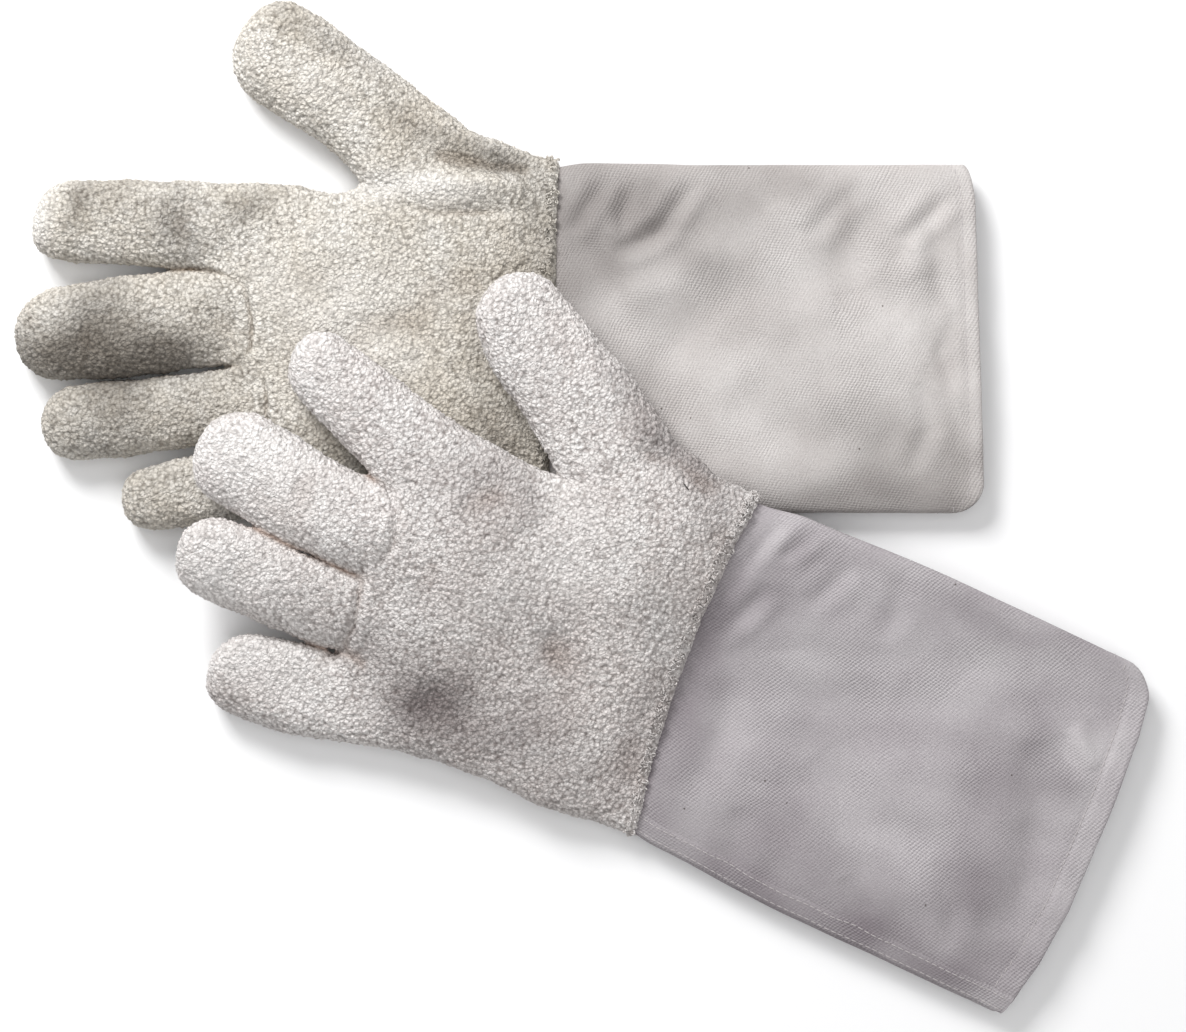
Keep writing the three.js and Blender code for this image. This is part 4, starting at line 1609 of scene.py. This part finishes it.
    def lap(self) -> Skin:
        """The felled seam: a lapped strip with soft edges along the cuff."""
        columns, rows = 12, 110
        shares = np.linspace(0, 1, columns + 1)
        profile = [(share, 0.42 * (1 - (2 * share - 1) ** 6) + 0.06) for share in shares]
        profile += [(share, -0.3) for share in shares[::-1]]
        lines = []
        for share, out in profile:
            side = self.seam_from - self.plan.cuff_half + (self.seam_to - self.seam_from) * share
            around = np.full(rows + 1, self.around_at(side, self.plan.lap_face))
            reach = np.linspace(-3.0, float(self.mouth(np.array(side))) + 0.4, rows + 1)
            lines.append(self.place(around, reach, out))
        points = np.concatenate(lines)
        faces = grid_faces(len(profile), rows + 1, round_columns=False)
        return self.dressed(points, faces, 300 - points[:, 1])

    def stitches(self) -> Skin:
        """Every stitch of the hem and the felled seam, outside the cloth."""
        count = int(self.girth / STITCH_PITCH)
        around = (np.arange(count) + 0.5) / count
        lines = [(around, self.hem_line(self.side_of(around)), 0.4 / count, 0.0, 0.15)]
        for off in (2.6, 7.6):
            side = off - self.plan.cuff_half
            reach = np.arange(-6.0, float(self.mouth(np.array(side))) + 2, -STITCH_PITCH)
            place = np.full(len(reach), self.around_at(side, self.plan.lap_face))
            lines.append((place, reach, 0.0, 1.15, 0.5))
        made = []
        for place, reach, half_turn, half_reach, out in lines:
            first = self.place(place - half_turn, reach - half_reach, out)
            last = self.place(place + half_turn, reach + half_reach, out)
            made += [capsule(a, b, THREAD_RADIUS) for a, b in zip(first, last)]
        return Skin.joined(made)

    def build(self) -> None:
        """Adds the cuff's pieces to the scene."""
        plan = self.plan
        cloth = CANVAS[plan.name].material()

        def mouth_and(more: float) -> Edge:
            return lambda side: self.mouth(side) + more

        def wrist_and(more: float) -> Edge:
            return lambda side: plan.wrist_line(side) + more

        inner = (-self.wall - 0.1, -2 * self.wall - 0.1)
        skins = {
            "cuff": self.sleeve(self.mouth, wrist_and(self.tuck), 130, (0.0, -self.wall)),
            "hem": self.sleeve(mouth_and(0.2), mouth_and(plan.hem + 1.0), 14, inner),
            "felled_seam": self.lap(),
            "wrist_seam": self.sleeve(wrist_and(0.8), wrist_and(self.tuck + 1), 10, (-1.2, -2.2)),
        }
        cuff, hem, lap, wrist = (
            add_piece(f"canvas_{plan.name}_{label}", plan, skin, cloth) for label, skin in skins.items()
        )
        threads = add_piece(f"thread_{plan.name}_cuff", plan, self.stitches(), THREAD.material())
        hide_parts(f"{plan.name}_cuff")
        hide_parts(f"{plan.name}_cuff_hem")
        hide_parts(f"{plan.name}_cuff_lap")
        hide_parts(f"{plan.name}_wrist_seam")
        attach(wrist, plan.hand_body)
        ends = blend_ends(plan, (-1.0, 0.0), (-1.0 - self.bend, 0.0))
        for piece in (cuff, hem, lap, threads):
            if plan.cuff_body == plan.hand_body:
                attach(piece, plan.cuff_body)
            else:
                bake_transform(piece)


@dataclass(frozen=True)
class Studio:
    """The plain floor, the lights and the camera."""

    frame_width: float = 0.4744
    centre: tuple[float, float] = (0.0033, -0.0038)
    lens: float = 100.0
    sensor: float = 36.0
    focus: float = 0.012  # the height that the frame's width is measured at
    floor_half: float = 3.0

    def lamp(self, name: str, place: Sequence[float], size: float, power: float) -> None:
        """A square lamp aimed at the gloves.

        Args:
            name: Its name.
            place: Where, in metres.
            size: Of its side.
            power: In watts.
        """
        light = bpy.data.lights.new(name, "AREA")
        light.shape, light.size, light.energy = "SQUARE", size, power
        obj = link(name, light)
        obj.location = place
        obj.rotation_euler = (Vector((0, 0, 0.01)) - Vector(place)).to_track_quat("-Z", "Y").to_euler()

    def build(self) -> None:
        """Adds everything that isn't the gloves."""
        half = self.floor_half
        corners = [[-half, -half, 0], [half, -half, 0], [half, half, 0], [-half, half, 0]]
        floor = link("floor", mesh_of("floor", Skin(np.array(corners), np.array([[0, 1, 2, 3]]))))
        floor.data.materials.append(PaperFinish("paper", (0.93, 0.93, 0.935)).material())
        self.lamp("key", (-0.6, 1.05, 0.95), 0.6, 23.0)
        self.lamp("fill", (0.9, -0.6, 1.4), 1.4, 4.0)
        self.lamp("top", (0.0, 0.0, 2.2), 1.8, 12.0)
        scene = bpy.context.scene
        world = bpy.data.worlds.new("studio")
        world.use_nodes = True
        background = world.node_tree.nodes["Background"]
        background.inputs["Color"].default_value = (1.0, 1.0, 1.0, 1.0)
        background.inputs["Strength"].default_value = 0.36
        scene.world = world
        scene.view_settings.view_transform = "Standard"
        scene.view_settings.look = "None"
        camera = bpy.data.cameras.new("camera")
        camera.lens, camera.sensor_width = self.lens, self.sensor
        camera.clip_start, camera.clip_end = 0.05, 20.0
        holder = link("camera", camera)
        holder.location = (*self.centre, self.frame_width * self.lens / self.sensor + self.focus)
        scene.camera = holder


def main() -> None:
    """Builds both gloves and the studio round them."""
    for plan in (RIGHT, LEFT):
        Hand(plan).build()
        Cuff(plan).build()
    Studio().build()


if __name__ == "__main__":
    main()
